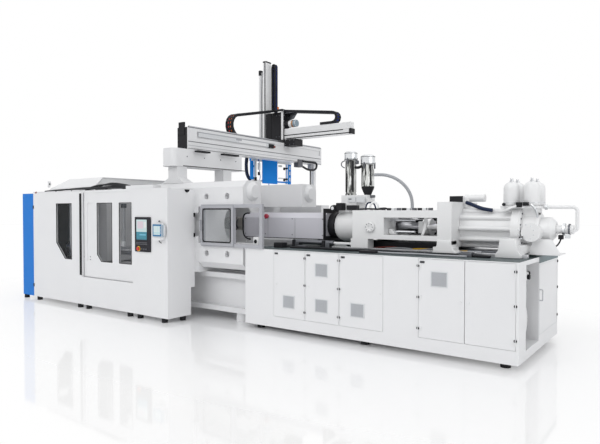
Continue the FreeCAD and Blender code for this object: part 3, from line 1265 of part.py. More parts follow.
def strip_beam():
    """The beam that moves along the machine through the portal, with the holder for the arm."""
    middle, half, low, high = "robot_across", "strip_half", "saddle_high + seam", "strip_high"
    groove = "strip_groove"
    outline = [(f"{middle} - {half}", low), (f"{middle} + {half}", low), (f"{middle} + {half}", high),
               (f"{middle} - {half}", high), (f"{middle} - {half}", f"{low} + 120"),
               (f"{middle} - {half} + {groove} / 2", f"{low} + 120"),
               (f"{middle} - {half} + {groove} / 2", f"{low} + 120 - {groove}"),
               (f"{middle} - {half}", f"{low} + 120 - {groove}"),
               (f"{middle} - {half}", f"{low} + 40"), (f"{middle} - {half} + {groove} / 2", f"{low} + 40"),
               (f"{middle} - {half} + {groove} / 2", f"{low} + 40 - {groove}"),
               (f"{middle} - {half}", f"{low} + 40 - {groove}")]
    beam = plate("YZ", ("strip_left - 5", "strip_right"), outline)
    cap = box(("strip_right - 1", "strip_right + 12"), (f"{middle} - {half}", f"{middle} + {half}"),
              (low, f"{low} + 110"))
    holder = box(("holder_left", "strip_left"), (f"{middle} - holder_half", f"{middle} + holder_half"),
                 (low, "holder_high"))
    rest = box(("arm_chain_x + arm_bend - 30", "arm_chain_x + arm_bend + 40"),
               (f"{middle} + holder_half - 1", f"{middle} + holder_half + seam + arm_wide"),
               ("holder_high - 40", "holder_high"))
    return fuse(beam, cap, holder, rest)


def robot_arm():
    """The upright arm: a main profile with its rail, a slim one beside it on two links, the
    fork that carries the wrist pin and the bracket for its chain."""
    middle, half = "robot_across", "holder_half"
    main = box(("arm_left", "arm_right"), (f"{middle} - {half}", f"{middle} + {half}"),
               ("arm_low", "arm_high"))
    rail = box(("arm_right - arm_rail", "arm_right"),
               (f"{middle} - {half} - arm_rail_out", f"{middle} - {half} + 1"), ("arm_low + 60", "arm_high"))
    slim = box(("slim_left", "slim_right"), (f"{middle} - slim_half", f"{middle} + slim_half"),
               ("slim_low", "slim_high"))
    links = [box(("slim_right - 1", "arm_left + 1"), (f"{middle} - slim_half / 2", f"{middle} + slim_half / 2"),
                 (low, f"{low} + link_high")) for low in ("slim_low + 60", "slim_high - 60 - link_high")]
    cheeks = [box(("wrist_x - wrist_radius - 5", "wrist_x + wrist_radius + 5"), span,
                  ("wrist_z - wrist_radius - 5", "arm_low + 1"))
              for span in ((f"{middle} - {half}", f"{middle} - {half} + wrist_cheek"),
                           (f"{middle} + {half} - wrist_cheek", f"{middle} + {half}"))]
    pin = rod("Y", ("wrist_x", f"{middle} - {half} + 1", "wrist_z"), "wrist_pin", f"2 * {half} - 2")
    back = f"{middle} + {half}"
    foot = box(("arm_left + 10", "arm_right - 5"), (f"{back} - 1", f"{back} + 2"),
               ("arm_anchor - 40", "arm_anchor"))
    rest = box(("arm_left + 10", "arm_chain_x - arm_bend + chain_deep / 2"),
               (f"{back} + 1", f"{back} + seam + arm_wide"), ("arm_anchor - 40", "arm_anchor"))
    return fuse(main, rail, slim, *links, *cheeks, pin, foot, rest)


def gripper():
    """The part gripper: a spine with slats at both ends, a broad face plate, struts with
    suction cups, a low foot and the conduit that loops round its near side."""
    x, middle = "wrist_x", "robot_across"
    inner = "holder_half - wrist_cheek - 0.5"
    hub = rod("Y", (x, f"{middle} - ({inner})", "wrist_z"), "wrist_radius", f"2 * ({inner})")
    neck = box((f"{x} - spine_side / 2", f"{x} + spine_side / 2"),
               (f"{middle} - ({inner})", f"{middle} + ({inner})"), ("spine_high - 1", "wrist_z"))
    eye = rod("Y", (x, f"{middle} - holder_half", "wrist_z"), "wrist_pin + 0.5", "2 * holder_half")
    spine = box((f"{x} - spine_side / 2", f"{x} + spine_side / 2"), ("gripper_front", "gripper_back"),
                ("spine_high - spine_side", "spine_high"))
    top = "spine_high - spine_side + 1"
    slats = [box((f"{x} - slat_wall / 2", f"{x} + slat_wall / 2"), (start, f"{start} + slat_wide"),
                 ("gripper_low", top)) for start in ("gripper_front", "gripper_back - slat_wide")]
    struts = [box((f"{x} - strut_side / 2", f"{x} + strut_side / 2"), (start, f"{start} + strut_side"),
                  ("gripper_low + 20", top))
              for start in ("gripper_front + strut_inset", "gripper_back - strut_inset - strut_side")]
    face = box((f"{x} + spine_side / 2 - 1", f"{x} + spine_side / 2 + face_wall"),
               ("face_front", "face_back"), ("gripper_low", "spine_high - 10"))
    rail = box((f"{x} - strut_side / 2", f"{x} + strut_side / 2"),
               ("gripper_front + 10", "gripper_back - 10"), ("gripper_low + 40", "gripper_low + 80"))
    pads = [box((f"{x}", f"{x} + spine_side / 2"), ("face_front + 40", "face_back - 40"),
                ("gripper_low + 40", "gripper_low + 80"))]
    cups = [rod("X", (f"{x} - strut_side / 2 - cup_long", f"{start} + strut_side / 2", z),
                "cup_radius", "cup_long + 5")
            for start in ("gripper_front + strut_inset", "gripper_back - strut_inset - strut_side")
            for z in ("gripper_low + 120", "spine_high - spine_side - 120")]
    centre = "(face_front + face_back) / 2"
    stem = rod("Z", (x, centre, "foot_low"), "10", "gripper_low - foot_low + 45")
    foot = box((f"{x} - 45", f"{x} + 45"), ("face_front", "face_back - 20"),
               ("foot_low", "foot_low + foot_wall"))
    joint = box((f"{x} - spine_side / 2", f"{x} + spine_side / 2"),
                ("gripper_front + joint_box_at", "gripper_front + joint_box_at + joint_box"),
                ("spine_high - 1", "spine_high + conduit_rise + conduit_radius + 5"))
    return cut(fuse(hub, neck, spine, *slats, *struts, face, rail, *pads, *cups, stem, foot, joint, conduit()),
               eye)


def conduit():
    """The black conduit from its box on the spine round the near slat to the lower rail."""
    x, y = size("wrist_x"), size("axis_y")
    high, low = size("spine_high") + size("conduit_rise"), size("gripper_low") + 60
    near, reach = y + size("gripper_front"), size("conduit_reach")
    drop, end = high - low, near + size("conduit_radius")
    route = [(x, near + size("joint_box_at") + 5, high), (x - 0.1 * reach, near + 0.4 * reach, high),
             (x - 0.7 * reach, near, high - 0.12 * drop), (x - reach, near, high - 0.45 * drop),
             (x - 0.8 * reach, near, high - 0.82 * drop), (x, end, low)]
    return loose("Conduit", pipe(route, size("conduit_radius"), size("conduit_radius") * 2))


node("robot_console", robot_console())
node("traverse_beam", traverse_beam())
node("traverse_carriage", traverse_carriage())
node("strip_beam", strip_beam())
node("robot_arm", robot_arm())
node("gripper", gripper())


# ---- the energy chains ----------------------------------------------------------------

def along(path, step):
    """Points one step apart along a path of places, and the path's length."""
    points, carried = [path[0]], 0.0
    for start, end in zip(path, path[1:]):
        long = (end - start).Length
        while carried + long >= step:
            start = start + (end - start).normalize() * (step - carried)
            points.append(start)
            long, carried = (end - start).Length, 0.0
        carried += long
    return points


def chain_path(first, centre, last, bend, side):
    """Places along a chain in its own plane: a straight run, the half turn round a centre, and
    the run back. The first run lies below the centre, the last above; side is +1 or -1."""
    turn = [Vector(centre.x + side * bend * math.sin(angle), centre.y - bend * math.cos(angle), 0)
            for angle in (math.pi * step / 48 for step in range(49))]
    return [first, *turn, last]


def energy_chain(path, step, full_width, stand):
    """A row of links, wide and narrow by turns, from points in the chain's own plane. stand
    turns a point and a distance across the chain into a place on the machine."""
    joints = along(path, step)
    links = []
    for number, (start, end) in enumerate(zip(joints, joints[1:])):
        wide = size(full_width) / 2 - (size("chain_step") if number % 2 else 0)
        half, lap = size("chain_deep") / 2, size("chain_deep") / 6
        forward = (end - start).normalize()
        aside = Vector(-forward.y, forward.x, 0)
        corners = [start - forward * lap - aside * half * 0.5, start + forward * lap - aside * half,
                   end - forward * lap - aside * half, end + forward * lap - aside * half * 0.5,
                   end + forward * lap + aside * half * 0.5, end - forward * lap + aside * half,
                   start + forward * lap + aside * half, start - forward * lap + aside * half * 0.5]
        ring = [stand(corner, -wide) for corner in corners]
        outline = Part.makePolygon([*ring, ring[0]])
        links.append(Part.Face(outline).extrude(stand(corners[0], wide) - ring[0]))
    print(f"energy chain of {len(links)} links")
    return loose("EnergyChain", links[0].multiFuse(links[1:]).removeSplitter())


def setback(run, rise):
    """How far short of its anchor a chain's last joint stays on a run that climbs."""
    lap, lean = size("chain_deep") / 6, size("chain_deep") / 4
    return (lap * run + lean * rise) / math.hypot(run, rise) + size("seam")


def long_chain():
    """The chain of the traverse: from the beam round to the arm on the carriage."""
    bend, rest = size("long_bend"), size("beam_high") + size("chain_deep") / 2 + size("seam")
    anchor, high = size("robot_across") - size("portal_half") - 45, size("portal_high") - size("chain_deep") / 2
    end = anchor - setback(anchor - size("long_turn"), high - rest - 2 * bend)
    path = chain_path(Vector(size("long_anchor"), rest, 0), Vector(size("long_turn"), rest + bend, 0),
                      Vector(end, high, 0), bend, -1)
    x, y = size("long_x"), size("axis_y")
    return energy_chain(path[::-1], size("long_pitch"), "long_wide",
                        lambda p, off: Vector(x + off, y + p.x, p.y))


def short_chain():
    """The chain of the strip beam: from the beam round to the portal."""
    bend, rest = size("short_bend"), size("strip_high") + size("chain_deep") / 2 + size("seam")
    anchor = size("strip_left") + size("seam") + size("portal_wall")
    high = size("portal_high") - size("chain_deep") / 2 - 10
    end = anchor + setback(size("short_turn") - anchor, high - rest - 2 * bend)
    path = chain_path(Vector(size("short_anchor"), rest, 0), Vector(size("short_turn"), rest + bend, 0),
                      Vector(end, high, 0), bend, 1)
    y = size("axis_y") + size("robot_across")
    return energy_chain(path[::-1], size("short_pitch"), "short_wide",
                        lambda p, off: Vector(p.x, y + off, p.y))


def arm_chain():
    """The chain of the arm: up from the holder, over, and down to the arm's bracket."""
    bend, lap = size("arm_bend"), size("chain_deep") / 6 + size("seam")
    across = size("robot_across") + size("holder_half") + size("seam") + size("arm_wide") / 2
    path = chain_path(Vector(size("holder_high") + lap, bend, 0), Vector(size("arm_turn"), 0, 0),
                      Vector(size("arm_anchor") + lap, -bend, 0), -bend, -1)
    x, y = size("arm_chain_x"), size("axis_y") + across
    return energy_chain(path, size("short_pitch"), "arm_wide",
                        lambda p, off: Vector(x + p.y, y + off, p.x))


node("chain_traverse", long_chain())
node("chain_strip", short_chain())
node("chain_arm", arm_chain())


# ---- writing --------------------------------------------------------------------------

doc.recompute()
failed = [thing.Name for thing in doc.Objects if {"Invalid", "Error"} & set(thing.State)]
failed += [thing.Label for thing in NODES if thing.Shape.isNull() or not thing.Shape.isValid()]
if failed:
    raise RuntimeError(f"these pieces failed: {failed}")
os.makedirs("parts", exist_ok=True)
for thing in NODES:
    thing.Shape.exportStep(f"parts/{thing.Label}.step")
    print(f"{thing.Label}: {len(thing.Shape.Solids)} solids, {thing.Shape.Volume / 1e9:.4f} m3")
print(f"{len(NODES)} nodes")
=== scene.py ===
import json
import math

import bpy
from mathutils import Matrix, Vector


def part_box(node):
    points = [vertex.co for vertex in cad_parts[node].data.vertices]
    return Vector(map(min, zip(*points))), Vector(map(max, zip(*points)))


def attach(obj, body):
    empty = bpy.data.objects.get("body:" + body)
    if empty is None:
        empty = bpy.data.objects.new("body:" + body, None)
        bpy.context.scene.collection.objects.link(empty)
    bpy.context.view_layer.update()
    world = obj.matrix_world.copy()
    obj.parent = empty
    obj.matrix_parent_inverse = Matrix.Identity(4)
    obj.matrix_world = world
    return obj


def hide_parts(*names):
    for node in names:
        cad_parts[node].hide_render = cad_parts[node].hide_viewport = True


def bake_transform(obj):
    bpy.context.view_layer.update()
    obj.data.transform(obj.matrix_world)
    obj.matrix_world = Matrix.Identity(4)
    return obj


# An injection moulding machine, dressed for the eye: painted sheet and castings, clear panes,
# ground bars, hoses and energy chains. Metres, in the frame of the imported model. "Across" is
# measured from the machine's own axis, which lies at AXIS.

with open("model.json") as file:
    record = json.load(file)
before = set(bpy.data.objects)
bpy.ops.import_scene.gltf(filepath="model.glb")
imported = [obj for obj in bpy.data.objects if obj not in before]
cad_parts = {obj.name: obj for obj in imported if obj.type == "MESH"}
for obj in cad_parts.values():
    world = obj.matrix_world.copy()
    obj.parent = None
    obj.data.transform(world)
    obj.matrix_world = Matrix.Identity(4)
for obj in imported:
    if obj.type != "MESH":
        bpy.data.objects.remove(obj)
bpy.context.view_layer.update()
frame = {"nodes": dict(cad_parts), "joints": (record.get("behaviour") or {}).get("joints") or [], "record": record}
AXIS = -1.035
SCREW_Z = 1.73


def at(x, across, z):
    """A place on the machine, with its distance across taken from the machine's axis."""
    return Vector((x, across + AXIS, z))


# ---- the camera, the floor and the light -----------------------------------------------------

def look_from(place, heading, fall, lens, sensor=36, reach=200):
    """A camera that looks from a place, turned and tipped by degrees, and sees as far as its reach."""
    bpy.ops.object.camera_add(location=place)
    camera = bpy.context.object
    camera.rotation_euler = (math.radians(90 - fall), 0, math.radians(heading))
    camera.data.lens = lens
    camera.data.sensor_width = sensor
    camera.data.clip_end = reach
    bpy.context.scene.camera = camera


def sun(place, strength, spread):
    """A far lamp that shines from a place towards the machine, with soft shadows."""
    bpy.ops.object.light_add(type="SUN", location=place)
    light = bpy.context.object
    light.rotation_euler = (-Vector(place)).to_track_quat("-Z", "Y").to_euler()
    light.data.energy, light.data.angle = strength, math.radians(spread)


look_from(place=(6.89, -9.065, 1.98), heading=36.3, fall=1.16, lens=32.7)
for lamp in (((-3, -11, 9), 0.9, 40), ((1, 3, 14), 0.52, 60), ((12, -3, 5), 0.6, 50)):
    sun(*lamp)


# ---- materials -------------------------------------------------------------------------------

def shade_of(code):
    """The colour of a six-figure code, as the shader takes it."""
    parts = [int(code[place:place + 2], 16) / 255 for place in (0, 2, 4)]
    linear = [part / 12.92 if part <= 0.04045 else ((part + 0.055) / 1.055) ** 2.4 for part in parts]
    return (*linear, 1)


class Wire:
    """A value that runs through a material. Sums of wires add their Math nodes."""

    def __init__(self, finish, socket):
        self.finish, self.socket = finish, socket

    def combine(self, operation, first, second):
        return self.finish.node("Math", {"operation": operation}, {0: first, 1: second})

    def __add__(self, other):
        return self.combine("ADD", self, other)

    def __mul__(self, other):
        return self.combine("MULTIPLY", self, other)

    def __gt__(self, other):
        return self.combine("GREATER_THAN", self, other)

    def __lt__(self, other):
        return self.combine("LESS_THAN", self, other)

    __radd__, __rmul__ = __add__, __mul__


class Finish:
    """A material: a shader, and the nodes that vary it over the surface."""

    def __init__(self, name, code, rough, **settings):
        self.material = bpy.data.materials.new(name)
        self.material.use_nodes = True
        self.tree = self.material.node_tree
        self.shader = self.tree.nodes["Principled BSDF"]
        self.colour = shade_of(code)
        self.shader.inputs["Base Color"].default_value = self.colour
        self.shader.inputs["Roughness"].default_value = rough
        for socket, value in settings.items():
            self.shader.inputs[socket.replace("_", " ")].default_value = value
        self.place = self.node("TexCoord", {}, {}, "Object")

    def node(self, kind, settings, values, out=0):
        """A node with its settings made first, then its values or links."""
        made = self.tree.nodes.new("ShaderNode" + kind)
        for setting, value in settings.items():
            setattr(made, setting, value)
        for socket, value in values.items():
            if isinstance(value, Wire):
                self.tree.links.new(value.socket, made.inputs[socket])
            else:
                made.inputs[socket].default_value = value
        return Wire(self, made.outputs[out])

    def feed(self, socket, wire):
        self.tree.links.new(wire.socket, self.shader.inputs[socket])
        return self

    def axis(self, letter):
        """How far along X, Y or Z a point of the surface lies."""
        return self.node("SeparateXYZ", {}, {"Vector": self.place}, letter)

    def noise(self, scale, detail=3.0, stretch=(1, 1, 1)):
        """Cloudy values about a half, drawn out along an axis where its stretch is small."""
        mapped = self.node("Mapping", {}, {"Vector": self.place, "Scale": stretch})
        return self.node("TexNoise", {}, {"Vector": mapped, "Scale": scale, "Detail": detail}, "Fac")

    def tint(self, code, share):
        """Mix another colour in by a share that a wire gives."""
        under = self.colour_wire if hasattr(self, "colour_wire") else self.colour
        self.colour_wire = self.node("Mix", {"data_type": "RGBA"},
                                     {0: share, 6: under, 7: shade_of(code)}, 2)
        return self.feed("Base Color", self.colour_wire)

    def rough(self, low, high, wire):
        """Roughness between two values, by a wire from nought to one."""
        return self.feed("Roughness", wire * (high - low) + low)

    def raised(self, height, depth):
        """Bumps of a depth in metres, from a wire of their height."""
        return self.feed(
            "Normal",
            self.node("Bump", {}, {"Height": height, "Distance": depth, "Strength": 0.6}, "Normal"))


def paint(name, code, rough, shade, grain=260, depth=0.00025):
    """Paint with a fine grain, clouded a little by a second shade."""
    finish = Finish(name, code, rough, Coat_Weight=0.12, Coat_Roughness=0.25)
    patches = finish.noise(1.7, 4)
    finish.tint(shade, patches * 0.35)
    finish.rough(rough - 0.07, rough + 0.1, finish.noise(6, 4))
    return finish.raised(finish.noise(grain, 2), depth).material


def ground(name, code, rough, along, scale=90):
    """Bright metal, with fine grinding lines along one axis."""
    finish = Finish(name, code, rough, Metallic=1.0)
    lines = finish.noise(scale, 3, tuple(0.03 if axis == along else 1 for axis in "XYZ"))
    finish.rough(rough - 0.08, rough + 0.14, lines)
    finish.tint("8A8C90", finish.noise(2.5, 3) * 0.35)
    return finish.raised(lines, 0.0004).material


def moulded(name, code, rough, grain=320, depth=0.0002):
    """Moulded plastic or rubber, with a fine matt grain."""
    finish = Finish(name, code, rough)
    finish.rough(rough - 0.08, rough + 0.08, finish.noise(11, 3))
    finish.tint("6A6C70", finish.noise(4, 3) * 0.08)
    return finish.raised(finish.noise(grain, 2), depth).material


def clear(name, code, share, rough=0.04):
    """Clear sheet that lets the view through."""
    finish = Finish(name, code, rough, Alpha=share, Specular_IOR_Level=0.7)
    finish.rough(rough, rough + 0.09, finish.noise(3, 4))
    return finish.material


SHEET = paint("sheet_paint", "E3E3E4", 0.38, "D6D7D9")
CAST = paint("cast_paint", "E0E0E1", 0.46, "CFD0D3", 75, 0.0009)
UNIT = paint("unit_paint", "E8E8E8", 0.36, "DADBDD", 120, 0.0006)
GREY = paint("frame_paint", "A9AAAF", 0.42, "9C9DA3")
COVER = paint("cover_paint", "C8C7CE", 0.4, "B7B6BE")
BLUE = paint("corner_paint", "0074CC", 0.34, "006AC0")
GRIPPER_BLUE = paint("gripper_paint", "0584E0", 0.36, "0077D0")
BLACK = paint("black_paint", "232326", 0.42, "2E2E32")
PLASTIC = moulded("black_plastic", "18181B", 0.46)
BEZEL = moulded("bezel_plastic", "1F1E25", 0.36)
CHAIN = moulded("chain_plastic", "15161B", 0.42)
NAVY = moulded("navy_plastic", "16233F", 0.42)
RUBBER = moulded("seal_rubber", "1C1C1E", 0.7, 500, 0.0003)
RED = moulded("red_plastic", "C8281E", 0.28)
YELLOW = moulded("yellow_plastic", "E3B21C", 0.34)
ORANGE = moulded("orange_plastic", "E0701C", 0.3)
HOSE_GREY = moulded("hose_plastic", "A9ABAF", 0.4)
HOSE_BLACK = moulded("hose_rubber", "1F2024", 0.5)
PALE = moulded("pale_plastic", "D6D8DA", 0.42)
STEEL_X = ground("steel_along", "D2D3D6", 0.26, "X")
STEEL = ground("turned_steel", "C4C5C9", 0.3, "Y", 60)
BANDS = ground("band_steel", "A9A69F", 0.4, "Y", 60)
ALLOY_X = ground("alloy_along", "DDDFE1", 0.36, "X")
ALLOY_Z = ground("alloy_upright", "DFE1E3", 0.36, "Z")
DARK_STEEL = ground("dark_steel", "5C5E63", 0.42, "Y", 60)
PANE = clear("clear_sheet", "2A3034", 0.14)
GATE_PANE = clear("gate_sheet", "C8CED2", 0.1)
# The deck's dark grey-green: partly its own paint, partly painted shade of the unit above it.
DECK_AND_SHADE = paint("deck_paint_and_painted_shade", "3E4A4C", 0.55, "2C3436", 40, 0.0012)
TEAL = paint("deck_edge_paint", "4A6166", 0.45, "3F5257", 200, 0.0003)
# A near-black matt sheet for inside the guard: painted shade, not a real lining.
PAINTED_SHADE_SHEET = moulded("painted_shade_sheet", "0C0C0E", 0.85, 90, 0.002)
COLUMN = ground("column_steel", "B9BCC0", 0.34, "Z")
BROWN_RED = moulded("brown_red_plastic", "7A3024", 0.35)
CRIMSON = moulded("crimson_plastic", "A81B3A", 0.3)
KEY = moulded("key_plastic", "55565C", 0.4)
PENDANT_BLUE = moulded("pendant_bezel_plastic", "1F6F9E", 0.34)
PENDANT_GREY = moulded("pendant_side_plastic", "8CA0AE", 0.4)
FILTER = moulded("filter_mat", "A5A7AB", 0.8, 120, 0.001)
FILTER_SLAT = moulded("filter_slats", "BEC0C4", 0.5)
HOSE_BLUE = moulded("blue_hose_plastic", "1C3FB4", 0.34)
HOSE_LIGHT = moulded("light_hose_plastic", "4DB4EE", 0.3)
BRONZE = ground("bronze_ring", "B98A62", 0.36, "X")


def sight_tube():
    """The loaders' clear bodies, in which dark and pale streaks of what they hold show."""
    finish = Finish("sight_tube", "D9DAD6", 0.14, Coat_Weight=0.6)
    streaks = finish.noise(21, 2.5, (1, 1, 0.16))
    finish.tint("3C403A", (streaks > 0.47) * 0.7)
    finish.tint("101110", streaks > 0.545)
    finish.tint("F4F4F2", finish.noise(34, 2, (1, 1, 0.1)) > 0.6)
    return finish.rough(0.1, 0.24, finish.noise(9, 2)).material


SIGHT_TUBE = sight_tube()


# Dark and saturated finishes throw back little of the white surround.
DULL = {"Specular IOR Level": 0.16, "Coat Weight": 0.0}
for dark in (BLACK, PLASTIC, BEZEL, CHAIN, NAVY, RUBBER, HOSE_BLACK, PAINTED_SHADE_SHEET, BLUE, GRIPPER_BLUE,
             HOSE_BLUE):
    for socket, value in DULL.items():
        dark.node_tree.nodes["Principled BSDF"].inputs[socket].default_value = value


# ---- ways of making --------------------------------------------------------------------------

def fresh():
    """Leave nothing selected, so that an operator acts on the new piece alone."""
    if bpy.context.object and bpy.context.object.mode != "OBJECT":
        bpy.ops.object.mode_set(mode="OBJECT")
    bpy.ops.object.select_all(action="DESELECT")


def only(piece):
    fresh()
    piece.select_set(True)
    bpy.context.view_layer.objects.active = piece


def settle(piece, name, material, smooth=35):
    """Put a piece's place into its mesh, name it, paint it and smooth its soft edges."""
    only(piece)
    bpy.ops.object.transform_apply(location=True, rotation=True, scale=True)
    bpy.ops.object.shade_smooth_by_angle(angle=math.radians(smooth))
    piece.name = name
    piece.data.materials.clear()
    piece.data.materials.append(material)
    return piece


def finish_edges(piece, width, steps=2, angle=32):
    """Round a piece's sharp edges."""
    only(piece)
    bevel = piece.modifiers.new("Edges", "BEVEL")
    bevel.width, bevel.segments, bevel.limit_method = width, steps, "ANGLE"
    bevel.angle_limit = math.radians(angle)
    bevel.use_clamp_overlap = True
    bpy.ops.object.modifier_apply(modifier=bevel.name)


def even_shading(piece):
    """Let the large flat faces keep their own shading beside the rounded edges."""
    only(piece)
    normals = piece.modifiers.new("Normals", "WEIGHTED_NORMAL")
    normals.keep_sharp = True
    bpy.ops.object.modifier_apply(modifier=normals.name)


def patch(piece, material, *boxes):
    """Another finish on the faces whose middles lie in boxes between corners of the machine."""
    piece.data.materials.append(material)
    slot = len(piece.data.materials) - 1
    for low, high in boxes:
        low, high = at(*low), at(*high)
        for face in piece.data.polygons:
            if all(low[k] <= face.center[k] <= high[k] for k in range(3)):
                face.material_index = slot
    return piece


def block(name, low, high, material, edge=0.003):
    """A block between two corners of the machine, with rounded edges."""
    low, high = at(*low), at(*high)
    fresh()
    bpy.ops.mesh.primitive_cube_add(size=1, location=(low + high) / 2)
    piece = bpy.context.object
    piece.scale = high - low
    bpy.ops.object.transform_apply(location=True, rotation=True, scale=True)
    if edge:
        finish_edges(piece, edge)
    settle(piece, name, material)
    if edge:
        even_shading(piece)
    return piece


def chain_of_points(points):
    """An open line, drawn out from one corner point by point."""
    fresh()
    bpy.ops.mesh.primitive_plane_add(size=0.001, location=points[0])
    piece = bpy.context.object
    bpy.ops.object.transform_apply(location=True)
    bpy.ops.object.mode_set(mode="EDIT")
    bpy.ops.mesh.select_all(action="SELECT")
    bpy.ops.mesh.merge(type="CENTER")
    for start, end in zip(points, points[1:]):
        bpy.ops.mesh.extrude_vertices_move(TRANSFORM_OT_translate={"value": Vector(end) - Vector(start)})
    return piece


TURN = {"X": Matrix.Rotation(math.pi / 2, 4, "Y"), "Y": Matrix.Rotation(-math.pi / 2, 4, "X"),
        "Z": Matrix()}


def lathe(name, along, start, profile, material, sides=40, smooth=32):
    """A piece turned about an axis through a place, from pairs of distance along and radius."""
    piece = chain_of_points([(radius, 0, distance) for distance, radius in profile])
    bpy.ops.mesh.select_all(action="SELECT")
    bpy.ops.mesh.spin(steps=sides, angle=2 * math.pi, center=(0, 0, 0), axis=(0, 0, 1))
    bpy.ops.mesh.select_all(action="SELECT")
    bpy.ops.mesh.remove_doubles(threshold=0.00002)
    bpy.ops.mesh.normals_make_consistent(inside=False)
    bpy.ops.object.mode_set(mode="OBJECT")
    piece.matrix_world = Matrix.Translation(at(*start)) @ TURN[along]
    return settle(piece, name, material, smooth)


def ring(inner, outer, long):
    """The profile of a plain ring, for lathe."""
    return [(0, inner), (0, outer), (long, outer), (long, inner)]


def knob(radius, long, high, top):
    """The profile of a round head that eases to its top, for lathe."""
    return [(0, 0), (0, radius), (long, radius), (high, top), (high, 0)]


def outline(name, plane, corners, span, material, edge=0.002, wide=0):
    """A plate drawn through corners of one plane and thickened over a span, or only its rim."""
    spots = {"XZ": lambda u, v: at(u, span[0], v), "YZ": lambda u, v: at(span[0], u, v), "XY": lambda u,
             v: at(u, v, span[0])}
    thick = span[1] - span[0]
    way = {"XZ": (0, thick, 0), "YZ": (thick, 0, 0), "XY": (0, 0, thick)}[plane]
    piece = chain_of_points([spots[plane](*corner) for corner in corners])
    bpy.ops.mesh.select_all(action="SELECT")
    bpy.ops.mesh.edge_face_add()
    if wide:
        bpy.ops.mesh.inset(thickness=wide, depth=0)
        bpy.ops.mesh.delete(type="FACE")
        bpy.ops.mesh.select_all(action="SELECT")
    bpy.ops.mesh.extrude_region_move(TRANSFORM_OT_translate={"value": way})
    bpy.ops.mesh.select_all(action="SELECT")
    bpy.ops.mesh.normals_make_consistent(inside=False)
    bpy.ops.object.mode_set(mode="OBJECT")
    if edge:
        finish_edges(piece, edge)
    return settle(piece, name, material)


def rim(name, plane, corners, span, wide, material, edge=0):
    return outline(name, plane, corners, span, material, edge, wide)


def oblong(left, right, low, high):
    return [(left, low), (right, low), (right, high), (left, high)]


def lay_line(curve, points, order):
    """Lay a smooth line through places on the machine into a curve."""
    line = curve.splines.new("NURBS")
    line.points.add(len(points) - 1)
    for spot, point in zip(line.points, points):
        spot.co = (*at(*point), 1)
    line.order_u, line.use_endpoint_u = order, True


def tube(name, points, radius, material, order=3, sides=5, smooth=60):
    """A round bar or pipe along a smooth line through places on the machine."""
    fresh()
    bpy.ops.curve.primitive_nurbs_path_add()
    piece = bpy.context.object
    piece.data.splines.clear()
    lay_line(piece.data, points, order)
    piece.data.bevel_depth, piece.data.bevel_resolution = radius, sides
    piece.data.use_fill_caps = True
    piece.matrix_world = Matrix()
    only(piece)
    bpy.ops.object.convert(target="MESH")
    return settle(bpy.context.object, name, material, smooth)


def moved(piece, shift=(0, 0, 0), turn=None):
    """A copy of a piece with a mesh of its own, moved, or turned about a line by a matrix."""
    only(piece)
    bpy.ops.object.duplicate()
    copy = bpy.context.object
    copy.matrix_world = (turn or Matrix()) @ Matrix.Translation(shift)
    bpy.ops.object.transform_apply(location=True, rotation=True, scale=True)
    return copy


def spread(piece, shifts):
    """The piece and its copies at some shifts, as one piece. The first shift is the piece's own."""
    copies = [moved(piece, shift) for shift in shifts]
    return joined(piece.name, [piece, *copies])


def around(piece, centre, along, count, start=0.0):
    """Copies of a piece evenly round a line along an axis, as one piece."""
    middle = at(*centre)
    ring = []
    for step in range(count):
        angle = start + 2 * math.pi * step / count
        turn = Matrix.Translation(middle) @ Matrix.Rotation(angle, 4, along) @ Matrix.Translation(-middle)
        ring.append(moved(piece, turn=turn))
    name = piece.name
    bpy.data.objects.remove(piece)
    return joined(name, ring)


def joined(name, parts):
    """Several pieces of one finish or more, as one piece."""
    fresh()
    for part in parts:
        part.select_set(True)
    bpy.context.view_layer.objects.active = parts[0]
    if len(parts) > 1:
        bpy.ops.object.join()
    parts[0].name = name
    return parts[0]


def group(name, make, *rows):
    """Pieces made in one way from rows of values, as one piece."""
    return joined(name, [make(name, *values) for values in rows])


def rides(body, *pieces):
    for piece in pieces:
        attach(piece, body)
    return pieces[0]


BODY_OF = {name: body for body, names in frame["record"]["behaviour"]["bodies"].items() for name in names}


def rounded(node, width, material, steps=2, smooth=30):
    """A node's own shape with its edges rounded, which stands for the node."""
    source = frame["nodes"][node]
    piece = bpy.data.objects.new(node + "_rounded", source.data.copy())
    bpy.context.scene.collection.objects.link(piece)
    only(piece)
    bpy.ops.object.mode_set(mode="EDIT")
    bpy.ops.mesh.select_all(action="SELECT")
    bpy.ops.mesh.customdata_custom_splitnormals_clear()
    bpy.ops.mesh.remove_doubles(threshold=0.00001)
    bpy.ops.mesh.dissolve_limited(angle_limit=math.radians(0.6))
    bpy.ops.object.mode_set(mode="OBJECT")
    finish_edges(piece, width, steps)
    settle(piece, node + "_rounded", material, smooth)
    even_shading(piece)
    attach(piece, BODY_OF[node])
    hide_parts(node)
    return piece


# ---- the floor -------------------------------------------------------------------------------

FLOOR_SIZE = 160
FLOOR_MIDDLE = 0.9
FLOOR_FADE = (1.6, 4.6)
FLOOR_SQUEEZE = 0.22
FLOOR_POLISH = 0.13


